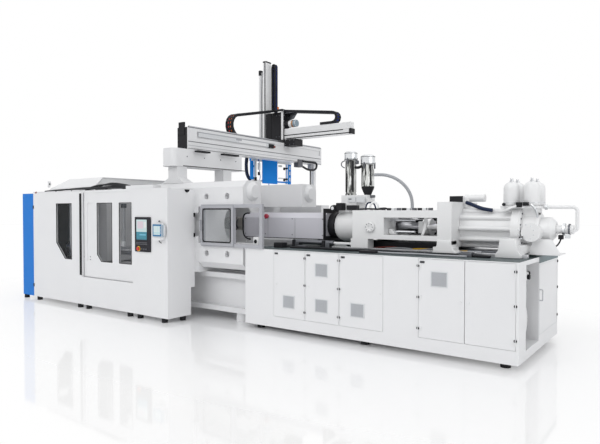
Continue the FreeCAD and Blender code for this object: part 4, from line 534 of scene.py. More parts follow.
def studio():
    """A pale floor that holds the machine's shadow and turns white further out."""
    fresh()
    bpy.ops.mesh.primitive_plane_add(size=FLOOR_SIZE, location=(0, 0, 0))
    floor = bpy.context.object
    floor.name = "floor"
    finish = Finish("floor_paint", "F4F4F5", 0.45, Coat_Weight=0.5, Coat_Roughness=0.05)
    across, along = finish.axis("Y") + FLOOR_MIDDLE, finish.axis("X")
    far = finish.node("Math", {"operation": "SQRT"}, {0: along * along * FLOOR_SQUEEZE + across * across})
    share = finish.node(
        "MapRange", {}, {"Value": far, "From Min": FLOOR_FADE[0], "From Max": FLOOR_FADE[1]})
    seen = finish.node("LightPath", {}, {}, "Is Camera Ray")
    white = finish.node("Emission", {}, {"Color": (1, 1, 1, 1), "Strength": 1.0})
    shaded = Wire(finish, finish.shader.outputs[0])
    mixed = finish.node("MixShader", {}, {0: share * seen, 1: shaded, 2: white})
    polish = finish.node("BsdfAnisotropic", {}, {"Color": (1, 1, 1, 1), "Roughness": 0.06})
    mixed = finish.node("MixShader", {}, {0: FLOOR_POLISH, 1: mixed, 2: polish})
    finish.tree.links.new(mixed.socket, finish.tree.nodes["Material Output"].inputs["Surface"])
    floor.data.materials.append(finish.material)


def surround():
    """A soft sky that lights the machine, and plain white where the camera or a gloss sees it."""
    world = bpy.data.worlds.new("surround")
    bpy.context.scene.world = world
    world.use_nodes = True
    nodes, links = world.node_tree.nodes, world.node_tree.links
    rays, shine, back = (nodes.new("ShaderNodeLightPath"), nodes["Background"],
                         nodes.new("ShaderNodeBackground"))
    for light, colour, strength in ((shine, (0.97, 0.985, 1, 1), 0.6), (back, (1, 1, 1, 1), 1.0)):
        light.inputs["Color"].default_value, light.inputs["Strength"].default_value = colour, strength
    mix, either, any_of = (nodes.new("ShaderNodeMixShader"), nodes.new("ShaderNodeMath"),
                           nodes.new("ShaderNodeMath"))
    either.operation = any_of.operation = "MAXIMUM"
    for source, target in (
            (rays.outputs["Is Camera Ray"], either.inputs[0]),
            (rays.outputs["Is Transmission Ray"], either.inputs[1]),
            (either.outputs[0], any_of.inputs[0]), (rays.outputs["Is Glossy Ray"], any_of.inputs[1]),
            (any_of.outputs[0], mix.inputs[0]), (shine.outputs[0], mix.inputs[1]),
            (back.outputs[0], mix.inputs[2]), (mix.outputs[0], nodes["World Output"].inputs["Surface"])):
        links.new(source, target)


studio()
surround()
bpy.context.scene.view_settings.view_transform = "Standard"


# ---- the suction hose ------------------------------------------------------------------------

SUCTION_ROUTE = [(2.525, 0, 2.58), (2.652, 0, 2.58), (2.777, 0, 2.558), (2.896, 0, 2.515),
                 (3.005, 0, 2.449), (3.098, 0, 2.362), (3.167, 0, 2.256), (3.204, 0, 2.135),
                 (3.204, 0, 2.008)]


def route_line(points, detail=24):
    """Places along the smooth line of a hose's route."""
    curve = bpy.data.curves.new("route", "CURVE")
    curve.dimensions = "3D"
    curve.resolution_u = detail
    lay_line(curve, points, 3)
    holder = bpy.data.objects.new("route", curve)
    mesh = bpy.data.meshes.new_from_object(holder)
    places = [vertex.co.copy() for vertex in mesh.vertices]
    bpy.data.objects.remove(holder)
    return places


def even_steps(places, step):
    """Places one even step apart along a line of places."""
    spots, carried = [places[0]], 0.0
    for start, end in zip(places, places[1:]):
        long = (end - start).length
        while carried + long >= step:
            start = start + (end - start).normalized() * (step - carried)
            spots.append(start.copy())
            long, carried = (end - start).length, 0.0
        carried += long
    spots.append(places[-1])
    return spots


def ribbed_hose(name, places, radius, pitch, groove, material, sides=20):
    """A hose with rings along its line: each ring is as wide as the hose, each gap less."""
    spots = even_steps(places, pitch / 2)
    vertices, faces = [], []
    side = None
    for number, spot in enumerate(spots):
        before, after = spots[max(number - 1, 0)], spots[min(number + 1, len(spots) - 1)]
        forward = (after - before).normalized()
        if side is None:
            side = forward.orthogonal().normalized()
        side = (side - forward * side.dot(forward)).normalized()
        other = forward.cross(side)
        wide = radius if number % 2 == 0 else radius - groove
        for step in range(sides):
            angle = 2 * math.pi * step / sides
            vertices.append(spot + (side * math.cos(angle) + other * math.sin(angle)) * wide)
    for ring in range(len(spots) - 1):
        for step in range(sides):
            a, b = ring * sides + step, ring * sides + (step + 1) % sides
            faces.append((a, b, b + sides, a + sides))
    faces.append(tuple(reversed(range(sides))))
    faces.append(tuple(range(len(vertices) - sides, len(vertices))))
    mesh = bpy.data.meshes.new(name)
    mesh.from_pydata(vertices, [], faces)
    piece = bpy.data.objects.new(name, mesh)
    bpy.context.scene.collection.objects.link(piece)
    return settle(piece, name, material, 60)


def suction_hose():
    places = route_line(SUCTION_ROUTE)
    hose = ribbed_hose("suction_hose_ribbed", places, 0.027, 0.011, 0.0035, HOSE_GREY)
    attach(hose, "injection_unit")
    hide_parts("suction_hose")
    at(*SUCTION_ROUTE[0])


CABLE_ROUTE = [(-1.25, 3.5, 3.0497), (-1.25, 3.5, 2.9167), (-1.226, 3.465, 2.67), (-1.166, 3.377, 2.5085),
               (-1.046, 3.201, 2.366), (-0.854, 2.92, 2.252), (-0.626, 2.586, 2.1855),
               (-0.386, 2.235, 2.1617), (-0.194, 1.954, 2.1617), (-0.05, 1.68, 2.16), (-0.05, 1.58, 2.16)]


def beam_cable():
    """The black cable that hangs from the beam's far end across to the cabinet."""
    places = route_line(CABLE_ROUTE)
    cable = ribbed_hose("beam_cable_round", places, 0.015, 0.03, 0.0, HOSE_BLACK, 16)
    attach(cable, "machine")
    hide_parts("beam_cable")
    at(*CABLE_ROUTE[0])


suction_hose()
beam_cable()


# ---- painted sheet, castings and bars --------------------------------------------------------

# Below this height the machine is black: partly its dark feet, partly painted shade of the gap under the panels.
FEET_AND_SHADE_LINE = 0.0795

shapes = {
    node: rounded(node, width, material)
    for width, material, nodes in (
        (0.004, SHEET, "front_panels rear_panels front_door rear_door"), (0.012, BLUE, "corner_panel"),
        (0.004, SHEET, "end_panels"), (0.005, SHEET, "roof_hood"), (0.003, SHEET, "door_tracks"),
        (0.008, CAST, "clamp_bed"), (0.016, CAST, "fixed_platen"), (0.014, CAST, "moving_platen"),
        (0.016, CAST, "clamp_cylinders"), (0.004, STEEL, "ejector"),
        (0.005, STEEL, "lock_collar_1 lock_collar_2 lock_collar_3 lock_collar_4"),
        (0.003, BEZEL, "control_panel"), (0.006, PALE, "robot_pendant"),
        (0.003, GREY, "nozzle_guard nozzle_gate"), (0.004, SHEET, "machine_base"),
        (0.003, SHEET, "cabinet_door_1 cabinet_door_2 cabinet_door_3 cabinet_door_4 cabinet_door_5"),
        (0.003, STEEL_X, "guide_rails"), (0.01, UNIT, "injection_frame"), (0.004, UNIT, "barrel_flange"),
        (0.004, COVER, "barrel_cover"), (0.005, UNIT, "crosshead"), (0.004, UNIT, "injection_cylinder"),
        (0.005, UNIT, "drive_housing"), (0.004, DARK_STEEL, "pull_cylinders"),
        (0.002, UNIT, "return_pipe"), (0.005, UNIT, "feeder_base"), (0.005, SHEET, "rear_cabinet"),
        (0.006, SHEET, "robot_console"), (0.005, SHEET, "traverse_beam"),
        (0.004, BLACK, "traverse_carriage"), (0.003, UNIT, "strip_beam robot_arm"),
        (0.002, GRIPPER_BLUE, "gripper")) for node in nodes.split()}

# The faces below the line are painted black: dark feet, and painted shade under the panels.
for node, left, right, near in (
        ("front_panels", -6, 0, -2), ("rear_panels", -6, 0, -2), ("end_panels", -6, 0, -2),
        ("corner_panel", -6, 0, -2), ("machine_base", 0, 6, -2), ("rear_cabinet", -2, 2, 0)):
    patch(shapes[node], PLASTIC, ((left, near, -0.01), (right, 2, FEET_AND_SHADE_LINE)))
for node, material, *boxes in (
        # The deck top: its own dark paint, darkened further as painted shade under the unit.
        ("machine_base", DECK_AND_SHADE, ((0.7, -1.1, 1.345), (5.2, 1.1, 1.36))),
        ("barrel_flange", BLACK, ((1.73, -1, 1), (1.862, 1, 2.3))),
        ("injection_frame", PLASTIC, ((3.8, -0.2, 2.112), (4.0535, 0.2, 2.25))),
        ("traverse_beam", PLASTIC, ((-1.42, -0.8, 3.46), (-1.24, -0.735, 3.73))),
        ("traverse_beam", STEEL, ((-1.5, -0.75, 3.6215), (-1.1, 3.89, 3.66))),
        ("traverse_beam", GREY, ((-1.32, 3.4, 3.04), (-1.18, 3.56, 3.189))),
        ("traverse_carriage", UNIT, ((-1.283, 2.333, 3.75), (-1.221, 2.337, 4.43)),
         ((-1.1, 2.36, 3.98), (-0.895, 2.54, 4.17))),
        ("traverse_carriage", ORANGE, ((-1.38, 2.288, 4.4325), (-1.33, 2.34, 4.5))),
        ("strip_beam", BLACK, ((-1.79, 2.3, 3.6), (-1.2955, 2.7, 4.38))),
        ("robot_arm", PLASTIC, ((-1.815, 2.33, 3.45), (-1.779, 2.3505, 5.66))),
        ("gripper", ALLOY_Z, ((-1.86, 1.83, 3.186), (-1.79, 3.42, 3.34)),
         ((-1.85, 1.985, 2.68), (-1.8, 2.033, 3.19)), ((-1.85, 3.204, 2.68), (-1.8, 3.252, 3.19)),
         ((-1.85, 1.94, 2.695), (-1.8, 3.3, 2.745))),
        ("gripper", PLASTIC, ((-1.915, 1.95, 2.7), (-1.846, 3.3, 3.2)),
         ((-1.86, 2.1, 3.252), (-1.79, 2.19, 3.45)), ((-1.99, 1.77, 2.66), (-1.8385, 1.9, 3.45)),
         ((-1.99, 1.77, 3.255), (-1.78, 2.12, 3.45)))):
    patch(shapes[node], material, *boxes)


def pull_in(piece, low, high, shift):
    """Move a part of a piece, between two corners of the machine, and all that hangs on it."""
    low, high = at(*low), at(*high)
    only(piece)
    bpy.ops.object.mode_set(mode="EDIT")
    bpy.ops.mesh.select_all(action="DESELECT")
    bpy.ops.object.mode_set(mode="OBJECT")
    for vertex in piece.data.vertices:
        vertex.select = all(low[k] <= vertex.co[k] <= high[k] for k in range(3))
    bpy.ops.object.mode_set(mode="EDIT")
    bpy.ops.mesh.select_mode(type="VERT")
    bpy.ops.transform.translate(value=shift)
    bpy.ops.object.mode_set(mode="OBJECT")


UPPER_CAPS_IN = 0.4
TANK_IN = 0.1
pull_in(shapes["clamp_cylinders"], (0.8, -1.2, 2.0), (1.1, 1.2, 2.6), (-UPPER_CAPS_IN, 0, 0))
pull_in(shapes["injection_frame"], (4.3, -0.07, 2.09), (4.5, 0.07, 2.24), (-TANK_IN, 0, 0))

for node, material in (
        ("side_window_pane", PANE), ("front_door_panes", PANE), ("nozzle_gate_pane", GATE_PANE),
        ("tie_bars", STEEL_X), ("stop_button", RED), ("barrel", DARK_STEEL), ("heater_bands", BANDS),
        ("screw", STEEL)):
    piece = frame["nodes"][node]
    piece.data.materials.clear()
    piece.data.materials.append(material)
    for face in piece.data.polygons:
        face.use_smooth = False


# ---- the guard -------------------------------------------------------------------------------

def bolt(name, spot, along, radius, material, proud=0.006):
    """A domed bolt head whose foot is at a spot and which points along an axis, either way."""
    way = 1 if along[0] == "+" else -1
    return lathe(
        name, along[1], spot,
        [(0, 0.0), (0, radius), (way * proud * 0.6, radius), (way * proud, radius * 0.7),
         (way * proud, 0.0)], material, 14)


def bolts(name, spots, along, radius, material, proud=0.006):
    """One bolt head, copied to each spot."""
    first = bolt(name, spots[0], along, radius, material, proud)
    return spread(first, [Vector(spot) - Vector(spots[0]) for spot in spots[1:]])


def row(name, piece, way, count):
    """A piece and its copies in an even row, as one piece named anew."""
    piece = spread(piece, [Vector(way) * step for step in range(1, count)])
    piece.name = name
    return piece


SIDE_WINDOW = [(-4.2, 1.305), (-3.87, 0.975), (-3.61, 0.975), (-3.61, 2.14), (-4.2, 2.14)]
WIDE_WINDOW = [(-2.786, 1.115), (-2.646, 0.975), (-2.284, 0.975), (-2.284, 2.14), (-2.786, 2.14)]
SLIM_WINDOW = oblong(-2.064, -1.68, 0.975, 2.14)

rides("machine",
      rim("side_window_seal", "XZ", SIDE_WINDOW, (-1.7335, -1.722), 0.012, RUBBER),
      block("door_seal", (-3.315, -1.742, 0.676), (-3.25, -1.728, 2.336), RUBBER, 0.004))
rides("front_door",
      rim("wide_window_seal", "XZ", WIDE_WINDOW, (-1.688, -1.677), 0.01, RUBBER),
      rim("slim_window_seal", "XZ", SLIM_WINDOW, (-1.688, -1.677), 0.01, RUBBER))

# Near-black sheets inside the guard, which the windows look on to: painted shade of the closed guard's inside.
rides("machine",
      block("rear_painted_shade", (-5.55, 1.7, 0.15), (-3.27, 1.7085, 2.2), PAINTED_SHADE_SHEET),
      block("end_painted_shade", (-5.566, -1.15, 0.15), (-5.558, 1.55, 2.32), PAINTED_SHADE_SHEET))
rides("rear_door", block("rear_door_painted_shade", (-3.2, 1.632, 0.68), (-1.63, 1.6445, 2.33), PAINTED_SHADE_SHEET))


def window_columns():
    """Three ground guide columns that hang behind the fixed window."""
    column = lathe(
        "window_columns", "Z", (-4.07, -1.44, 1.0),
        [(0, 0), (0, 0.05), (0.012, 0.062), (1.3, 0.062), (1.3, 0.08), (1.355, 0.08), (1.355, 0)], COLUMN)
    return row("window_columns", column, (0.165, 0, 0), 3)


rides("machine", window_columns())


def door_conduit():
    """The corrugated conduit on the inside of the door, with its two end boxes."""
    places = [at(-2.02, -1.606, 1.36), at(-2.02, -1.606, 2.08)]
    return rides(
        "front_door",
        ribbed_hose("door_conduit", places, 0.033, 0.016, 0.005, HOSE_GREY),
        block("door_conduit_foot", (-2.062, -1.645, 1.3), (-1.978, -1.57, 1.4), PALE, 0.008),
        block("door_conduit_head", (-2.062, -1.645, 2.04), (-1.978, -1.57, 2.12), DARK_STEEL, 0.008))


door_conduit()
rides("front_door",
      bolts("grip_screws", [(-3.03, -1.673, 1.00), (-3.03, -1.673, 1.055)], "-Y", 0.012, DARK_STEEL,
            0.004))
rides("machine",
      row("blue_hinges",
          block("blue_hinge", (-5.15, -1.744, 2.03), (-5.122, -1.729, 2.1), PLASTIC, 0.004),
          (0, 0, -1.74), 2),
      group("end_hinges", block,
            ((-0.612, -1.125, 1.87), (-0.597, -1.09, 1.945), PLASTIC, 0.004),
            ((-0.612, -1.125, 1.5), (-0.597, -1.09, 1.575), PLASTIC, 0.004)),
      outline("end_bumper", "YZ",
              [(-1.34, 2.369), (-1.327, 2.338), (-1.3, 2.318), (-1.27, 2.318), (-1.243, 2.338),
               (-1.23, 2.369)], (-0.611, -0.59), PLASTIC, 0.004),
      lathe("corner_light", "Z", (-5.1, -1.68, 2.369),
            [(0, 0), (0, 0.035), (0.012, 0.035), (0.014, 0.028), (0.032, 0.024), (0.042, 0.012),
             (0.045, 0)], BROWN_RED),
      outline("hood_lug", "YZ",
              [(-1.335, 2.52), (-1.29, 2.52), (-1.255, 2.6), (-1.275, 2.665), (-1.335, 2.665)],
              (-5.245, -5.225), UNIT, 0.003),
      outline("hood_end", "YZ", [(-1.3, 2.5), (1.3, 2.5), (1.115, 2.682), (-1.115, 2.682)],
              (-3.425, -3.412), UNIT, 0.001),
      bolt("hood_lug_hole", (-5.224, -1.3, 2.6), "+X", 0.018, PLASTIC, 0.002))


# Black cables and hoses along the door's track, and the flat cover beside them.
rides("machine",
      group("roof_loom", tube,
            ([(-4.75, -1.665, 2.41), (-4.2, -1.66, 2.43), (-3.6, -1.665, 2.435), (-3.0, -1.66, 2.425),
              (-2.4, -1.665, 2.43), (-1.86, -1.66, 2.42)], 0.017, HOSE_BLACK),
            ([(-4.4, -1.635, 2.41), (-3.9, -1.63, 2.44), (-3.3, -1.625, 2.455), (-2.7, -1.64, 2.45),
              (-2.2, -1.625, 2.465), (-1.84, -1.64, 2.44)], 0.014, HOSE_BLACK),
            ([(-3.3, -1.6, 2.41), (-3.05, -1.61, 2.47), (-2.75, -1.6, 2.5), (-2.35, -1.61, 2.495),
              (-2.0, -1.6, 2.47), (-1.84, -1.61, 2.43)], 0.019, HOSE_BLACK),
            ([(-2.95, -1.58, 2.44), (-2.6, -1.585, 2.53), (-2.2, -1.58, 2.52), (-1.84, -1.59, 2.46)],
             0.012, HOSE_BLACK)),
      joined("loom_ties",
             [block("loom_tie", (x, -1.69, 2.394), (x + 0.03, -1.56, 2.41), PLASTIC, 0.003)
              for x in (-4.3, -3.7, -3.1, -2.5, -1.95)]),
      block("loom_cover", (-1.85, -1.685, 2.394), (-1.06, -1.5, 2.455), SHEET, 0.006))


# ---- the operator's station ------------------------------------------------------------------

def glowing(name, ground_code, marks, strength=0.7):
    """A lit screen: fields of colour between left, right, low and high, on a ground."""
    finish = Finish(name, "0A0C10", 0.16, Emission_Strength=strength, Coat_Weight=0.4)
    x, z = finish.axis("X"), finish.axis("Z")
    colour = shade_of(ground_code)
    for code, share, left, right, low, high in marks:
        inside = (x > left) * (x < right) * (z > low) * (z < high) * share
        colour = finish.node("Mix", {"data_type": "RGBA"}, {0: inside, 6: colour, 7: shade_of(code)}, 2)
    return finish.feed("Emission Color", colour).material


STATION_SCREEN = glowing(
    "station_screen", "DDF4F6",
    [("F4D9E8", 0.8, -1.42, -1.25, 1.66, 1.79), ("BFE8EF", 1, -1.44, -1.16, 1.635, 1.64),
     ("FFFFFF", 0.9, -1.23, -1.17, 1.68, 1.78), ("178EA6", 1, -1.45, -1.152, 1.455, 1.6),
     ("6CC6E4", 1, -1.36, -1.18, 1.535, 1.56), ("0D7790", 1, -1.45, -1.152, 1.455, 1.475)])
PENDANT_SCREEN = glowing(
    "pendant_screen", "E8FBFD",
    [("9FE0EC", 1, -1, -0.5, 1.585, 1.598), ("B9EDF4", 1, -0.8, -0.79, 1.5, 1.8)])


def station():
    """The screen, keys and rings on the operator's panel."""
    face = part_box("control_panel")[0].y - AXIS
    screen = block("station_glass", (-1.45, face - 0.0006, 1.455), (-1.152, face + 0.0035, 1.823),
                   STATION_SCREEN, 0.0008)
    frame_line = rim("station_screen_rim", "XZ", oblong(-1.46, -1.142, 1.445, 1.833),
                     (face - 0.002, face + 0.002), 0.01, PLASTIC, 0.0006)
    key = block("station_key", (-1.455, face - 0.004, 1.395), (-1.431, face + 0.001, 1.412), KEY, 0.002)
    return rides(
        "machine", screen, frame_line,
        row("station_keys", row("key_row", key, (0.032, 0, 0), 10), (0, 0, -0.028), 2),
        lathe("stop_ring", "Y", (-1.388, face - 0.004, 1.29),
              [(0, 0.034), (0, 0.047), (0.005, 0.049), (0.005, 0.034)], YELLOW),
        row("station_knobs",
            lathe("station_knob", "Y", (-1.29, face, 1.29),
                  [(0, 0), (0, 0.016), (-0.014, 0.014), (-0.016, 0.01), (-0.016, 0)], KEY, 20),
            (0.062, 0, 0), 3))


def pendant():
    """The bezel, screen and knob of the robot's pendant in its holder."""
    low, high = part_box("robot_pendant")
    face = low.y - AXIS
    return rides(
        "machine",
        block("pendant_bezel", (-0.942, face - 0.004, 1.53), (-0.705, face + 0.004, 1.745), PENDANT_BLUE,
              0.006),
        block("pendant_glass", (-0.915, face - 0.0052, 1.56), (-0.74, face - 0.001, 1.715),
              PENDANT_SCREEN, 0.0008),
        block("pendant_side", (-0.69, face - 0.003, 1.53), (-0.65, face + 0.004, 1.74), PENDANT_GREY,
              0.008),
        row("pendant_keys",
            block("pendant_key", (-0.728, face - 0.0065, 1.7), (-0.714, face - 0.003, 1.712), PALE,
                  0.001), (0, 0, -0.024), 6),
        lathe("pendant_knob", "Z", (-0.79, face + 0.022, high.z - 0.002),
              [(0, 0), (0, 0.016), (0.018, 0.015), (0.024, 0.01), (0.024, 0)], PLASTIC, 20),
        tube("pendant_lead",
             [(-0.8, face + 0.02, 1.515), (-0.8, face + 0.02, 1.47), (-0.79, face + 0.03, 1.43),
              (-0.77, face + 0.055, 1.41), (-0.75, face + 0.085, 1.4)], 0.006, HOSE_BLACK))


station()
pendant()


# ---- the nozzle guard and what stands by the nozzle ------------------------------------------

def gate_seal():
    """The dark seal with round corners that holds the gate's pane."""
    low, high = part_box("nozzle_gate_pane")
    inset, ease = 0.004, 0.045
    left, right, down, up = low.x + inset, high.x - inset, low.z + inset, high.z - inset
    corners = [(left + ease, down), (right - ease, down), (right - ease * 0.3, down + ease * 0.3),
               (right, down + ease), (right, up - ease), (right - ease * 0.3, up - ease * 0.3),
               (right - ease, up), (left + ease, up), (left + ease * 0.3, up - ease * 0.3),
               (left, up - ease), (left, down + ease), (left + ease * 0.3, down + ease * 0.3)]
    face = low.y - AXIS
    return rim("gate_seal", "XZ", corners, (face - 0.008, face - 0.001), 0.022, RUBBER)


rides("nozzle_gate", gate_seal())
rides("injection_unit",
      tube("nozzle_lead",
           [(0.06, -0.33, 1.94), (-0.04, -0.345, 1.945), (-0.095, -0.345, 1.86), (-0.1, -0.345, 1.7),
            (-0.09, -0.34, 1.55), (-0.03, -0.335, 1.46), (0.08, -0.33, 1.45)], 0.014, HOSE_BLACK),
      joined("cover_lever",
             [block("lever_bar", (0.335, -0.335, 1.55), (0.365, -0.312, 1.73), DARK_STEEL, 0.004),
              lathe("lever_grip", "Z", (0.35, -0.335, 1.58),
                    [(0, 0), (0, 0.014), (0.03, 0.019), (0.1, 0.019), (0.125, 0.013), (0.13, 0)],
                    BROWN_RED, 18)]),
      lathe("cover_knob", "Y", (0.47, -0.305, 1.885),
            [(0.03, 0), (0.03, 0.02), (-0.008, 0.02), (-0.012, 0.042), (-0.04, 0.045), (-0.055, 0.03),
             (-0.058, 0)], CRIMSON, 24),
      joined("cover_straps",
             [block("cover_strap", (x, -0.306, 1.502), (x + 0.006, -0.2995, 1.86), GREY, 0.001)
              for x in (0.48, 1.1)]),
      bolts("cover_screws", [(x, -0.3, z) for x in (-0.07, 0.42, 1.04, 1.69) for z in (1.56, 1.84)], "-Y",
            0.01, DARK_STEEL, 0.004),
      block("cover_skirt", (-0.09, -0.296, 1.487), (1.7, -0.25, 1.502), PLASTIC, 0.003),
      rim("throat_plate", "YZ", oblong(-0.345, 0.345, 1.475, 2.02), (1.7315, 1.7395), 0.075, BLACK, 0.002))
rides("machine",
      joined("eye_block",
             [block("eye_block_body", (0.72, -0.99, 1.345), (0.84, -0.9, 1.535), UNIT, 0.012),
              bolt("eye_block_hole", (0.775, -0.99, 1.46), "-Y", 0.034, PLASTIC, 0.003)]),
      joined("pull_brackets",
             [block("pull_bracket", (x, near, 1.35), (x + 0.055, near + 0.13, 1.483), BLACK, 0.006)
              for near in (-0.465, 0.335) for x in (1.16, 1.78)]),
      group("deck_boxes", block,
            ((0.98, -0.75, 1.348), (1.16, -0.6, 1.44), BLACK, 0.006),
            ((1.38, -0.62, 1.348), (1.56, -0.54, 1.4), DARK_STEEL, 0.005),
            ((2.75, -0.9, 1.348), (3.02, -0.8, 1.386), BLACK, 0.006),
            ((4.22, -0.72, 1.348), (4.4, -0.6, 1.41), DARK_STEEL, 0.006)),
      bolts("guard_bolts", [(x, -1.12, z) for x in (-0.355, 0.44, 1.03) for z in (1.38, 2.065)], "-Y",
            0.01, DARK_STEEL, 0.004))


def deck_hoses():
    """Hoses and leads that lie on the deck between the rails and the edge, and two dark trays under the unit,
    partly trays and partly painted shade.
    """
    lines = [tube("deck_hose_a",
                  [(1.3, -0.7, 1.37), (1.8, -0.66, 1.375), (2.3, -0.73, 1.37), (2.9, -0.66, 1.375),
                   (3.5, -0.72, 1.37), (4.1, -0.66, 1.375), (4.65, -0.7, 1.37)], 0.019, HOSE_BLACK),
             tube("deck_hose_b",
                  [(1.1, -0.62, 1.368), (1.7, -0.6, 1.37), (2.2, -0.64, 1.37), (2.8, -0.6, 1.37),
                   (3.4, -0.63, 1.37), (4.0, -0.6, 1.37), (4.6, -0.62, 1.37)], 0.014, HOSE_BLACK),
             tube("deck_hose_c",
                  [(3.0, -0.79, 1.366), (3.3, -0.84, 1.366), (3.65, -0.78, 1.37), (4.0, -0.83, 1.366),
                   (4.35, -0.77, 1.366)], 0.012, HOSE_GREY)]
    # The trays' black and dark steel are partly their own colour, partly painted shade between the unit and the
    # base.
    tray_and_shade = block("deck_tray_and_painted_shade", (2.46, -0.27, 1.352), (3.83, 0.27, 1.497), PLASTIC, 0.01)
    back_tray_and_shade = block("deck_back_tray_and_painted_shade", (3.83, -0.27, 1.352), (4.66, 0.27, 1.415), DARK_STEEL, 0.01)
    mess = joined(
        "tray_hoses",
        [tube("tray_hose",
              [(2.5 + 0.2 * k, -0.33, 1.39),
               (2.75 + 0.2 * k, -0.3 - 0.02 * (k % 3), 1.42 + 0.01 * (k % 2)),
               (3.1 + 0.2 * k, -0.32, 1.38), (3.4 + 0.2 * k, -0.31, 1.4)], 0.013, material)
         for k, material in enumerate((HOSE_BLACK, BROWN_RED, HOSE_GREY, HOSE_BLACK, YELLOW, HOSE_GREY))])
    rides("injection_unit", tray_and_shade, back_tray_and_shade)
    return rides("machine", joined("deck_hoses", lines), mess)


deck_hoses()


# ---- the base --------------------------------------------------------------------------------

VENT_WIDE, VENT_HIGH = 0.238, 0.212
SLATS, SLAT_PITCH = 15, 0.0118


def vent(name, left, low, body):
    """A filter with a light frame and fine slats, in a cabinet door."""
    right, high = left + VENT_WIDE, low + VENT_HIGH
    border = rim(name + "_frame", "XZ", oblong(left, right, low, high), (-1.1285, -1.1245), 0.014, PALE,
                 0.001)
    back = block(name + "_filter", (left + 0.012, -1.1266, low + 0.012),
                 (right - 0.012, -1.1245, high - 0.012), FILTER, 0)
    slat = block(name + "_slat", (left + 0.014, -1.1278, low + 0.02),
                 (right - 0.014, -1.1262, low + 0.0245), FILTER_SLAT, 0)
    return rides(body, border, back, row(name + "_slats", slat, (0, 0, SLAT_PITCH), SLATS))


for number, (left, low, door) in enumerate((
        (1.472, 0.416, 1), (2.103, 0.964, 2), (2.103, 0.416, 2), (2.738, 0.416, 3), (3.988, 0.964, 4)), 1):
    vent(f"vent_{number}", left, low, f"cabinet_door_{door}")


def door_plate(name, x, body):
    """The small black plate with two heads near a door's top corner."""
    plate = block(name, (x - 0.033, -1.1265, 1.276), (x + 0.033, -1.119, 1.304), PLASTIC, 0.002)
    heads = bolts(
        name + "_heads", [(x - 0.016, -1.1265, 1.29), (x + 0.016, -1.1265, 1.29)], "-Y", 0.009, KEY,
        0.003)
    return rides(body, joined(name, [plate, heads]))


for number, x in ((1, 1.336), (2, 1.976), (3, 2.605), (4, 3.866)):
    door_plate(f"door_plate_{number}", x, f"cabinet_door_{number}")

hinge_places = [joint["pos_m"][0] for joint in frame["joints"]
                if joint["name"].startswith("cabinet_hinge")]
PIN_HEIGHTS = (0.3865, 0.8115, 1.2365)
rides("machine",
      bolts("hinge_pins", [(x, -1.1302, z) for x in hinge_places for z in PIN_HEIGHTS], "-Y", 0.021,
            PLASTIC, 0.006))
rides("machine",
      block("deck_edge", (4.72, -0.085, 1.262), (5.1235, 1.1215, 1.352), TEAL, 0.003),
      bolts("end_hinge_dots", [(5.1195, 1.085, z) for z in (0.384, 0.81, 1.21)], "+X", 0.022, PLASTIC,
            0.012),
      rim("end_panel_line", "YZ", oblong(-0.06, 1.07, 0.27, 1.245), (5.1195, 5.1225), 0.006, PALE))


def end_motor():
    """The pump motor in the recess at the base's end, with its pipes and handle."""
    drum = lathe(
        "pump_motor", "X", (4.74, -0.43, 0.505),
        [(0, 0), (0, 0.2), (0.03, 0.235), (0.21, 0.235), (0.215, 0.262), (0.245, 0.262), (0.25, 0.24),
         (0.262, 0.225), (0.262, 0.075), (0.285, 0.07), (0.285, 0)], UNIT, 56)
    fin = block("pump_fin", (4.78, -0.432, 0.73), (4.94, -0.428, 0.752), UNIT, 0.0)
    return rides(
        "machine", drum, around(fin, (4.86, -0.43, 0.505), "X", 40),
        around(bolt("pump_stud", (4.99, -0.43, 0.755), "+X", 0.009, DARK_STEEL), (4.99, -0.43, 0.505),
               "X", 12),
        group("pump_pipes", tube,
              ([(4.86, -0.3, 0.72), (4.86, -0.28, 0.95), (4.87, -0.26, 1.08), (4.92, -0.22, 1.12),
                (4.99, -0.16, 1.12)], 0.028, UNIT),
              ([(4.95, -0.58, 0.72), (4.95, -0.6, 0.92), (4.95, -0.56, 1.05), (4.95, -0.48, 1.09),
                (4.95, -0.34, 1.09)], 0.022, UNIT),
              ([(5.02, -0.66, 0.24), (5.02, -0.66, 0.9), (5.02, -0.64, 1.2)], 0.016, ALLOY_Z)),
        joined("pump_valves",
               [block("pump_valve_a", (4.9, -0.36, 1.04), (5.02, -0.24, 1.14), UNIT, 0.012),
                lathe("pump_valve_b", "X", (5.02, -0.3, 1.09), knob(0.035, 0.03, 0.034, 0.028), PLASTIC,
                      24),
                lathe("pump_valve_c", "Y", (4.98, -0.13, 1.12),
                      [(0, 0), (0, 0.03), (0.03, 0.03), (0.034, 0)], PLASTIC, 24),
                block("pump_box", (4.76, -0.7, 0.98), (4.92, -0.6, 1.16), PALE, 0.01)]),
        tube("recess_handle",
             [(5.121, -0.062, 0.9), (5.16, -0.062, 0.9), (5.165, -0.062, 0.885), (5.165, -0.062, 0.765),
              (5.16, -0.062, 0.75), (5.121, -0.062, 0.75)], 0.007, STEEL, 2))


end_motor()


# ---- the injection unit ----------------------------------------------------------------------

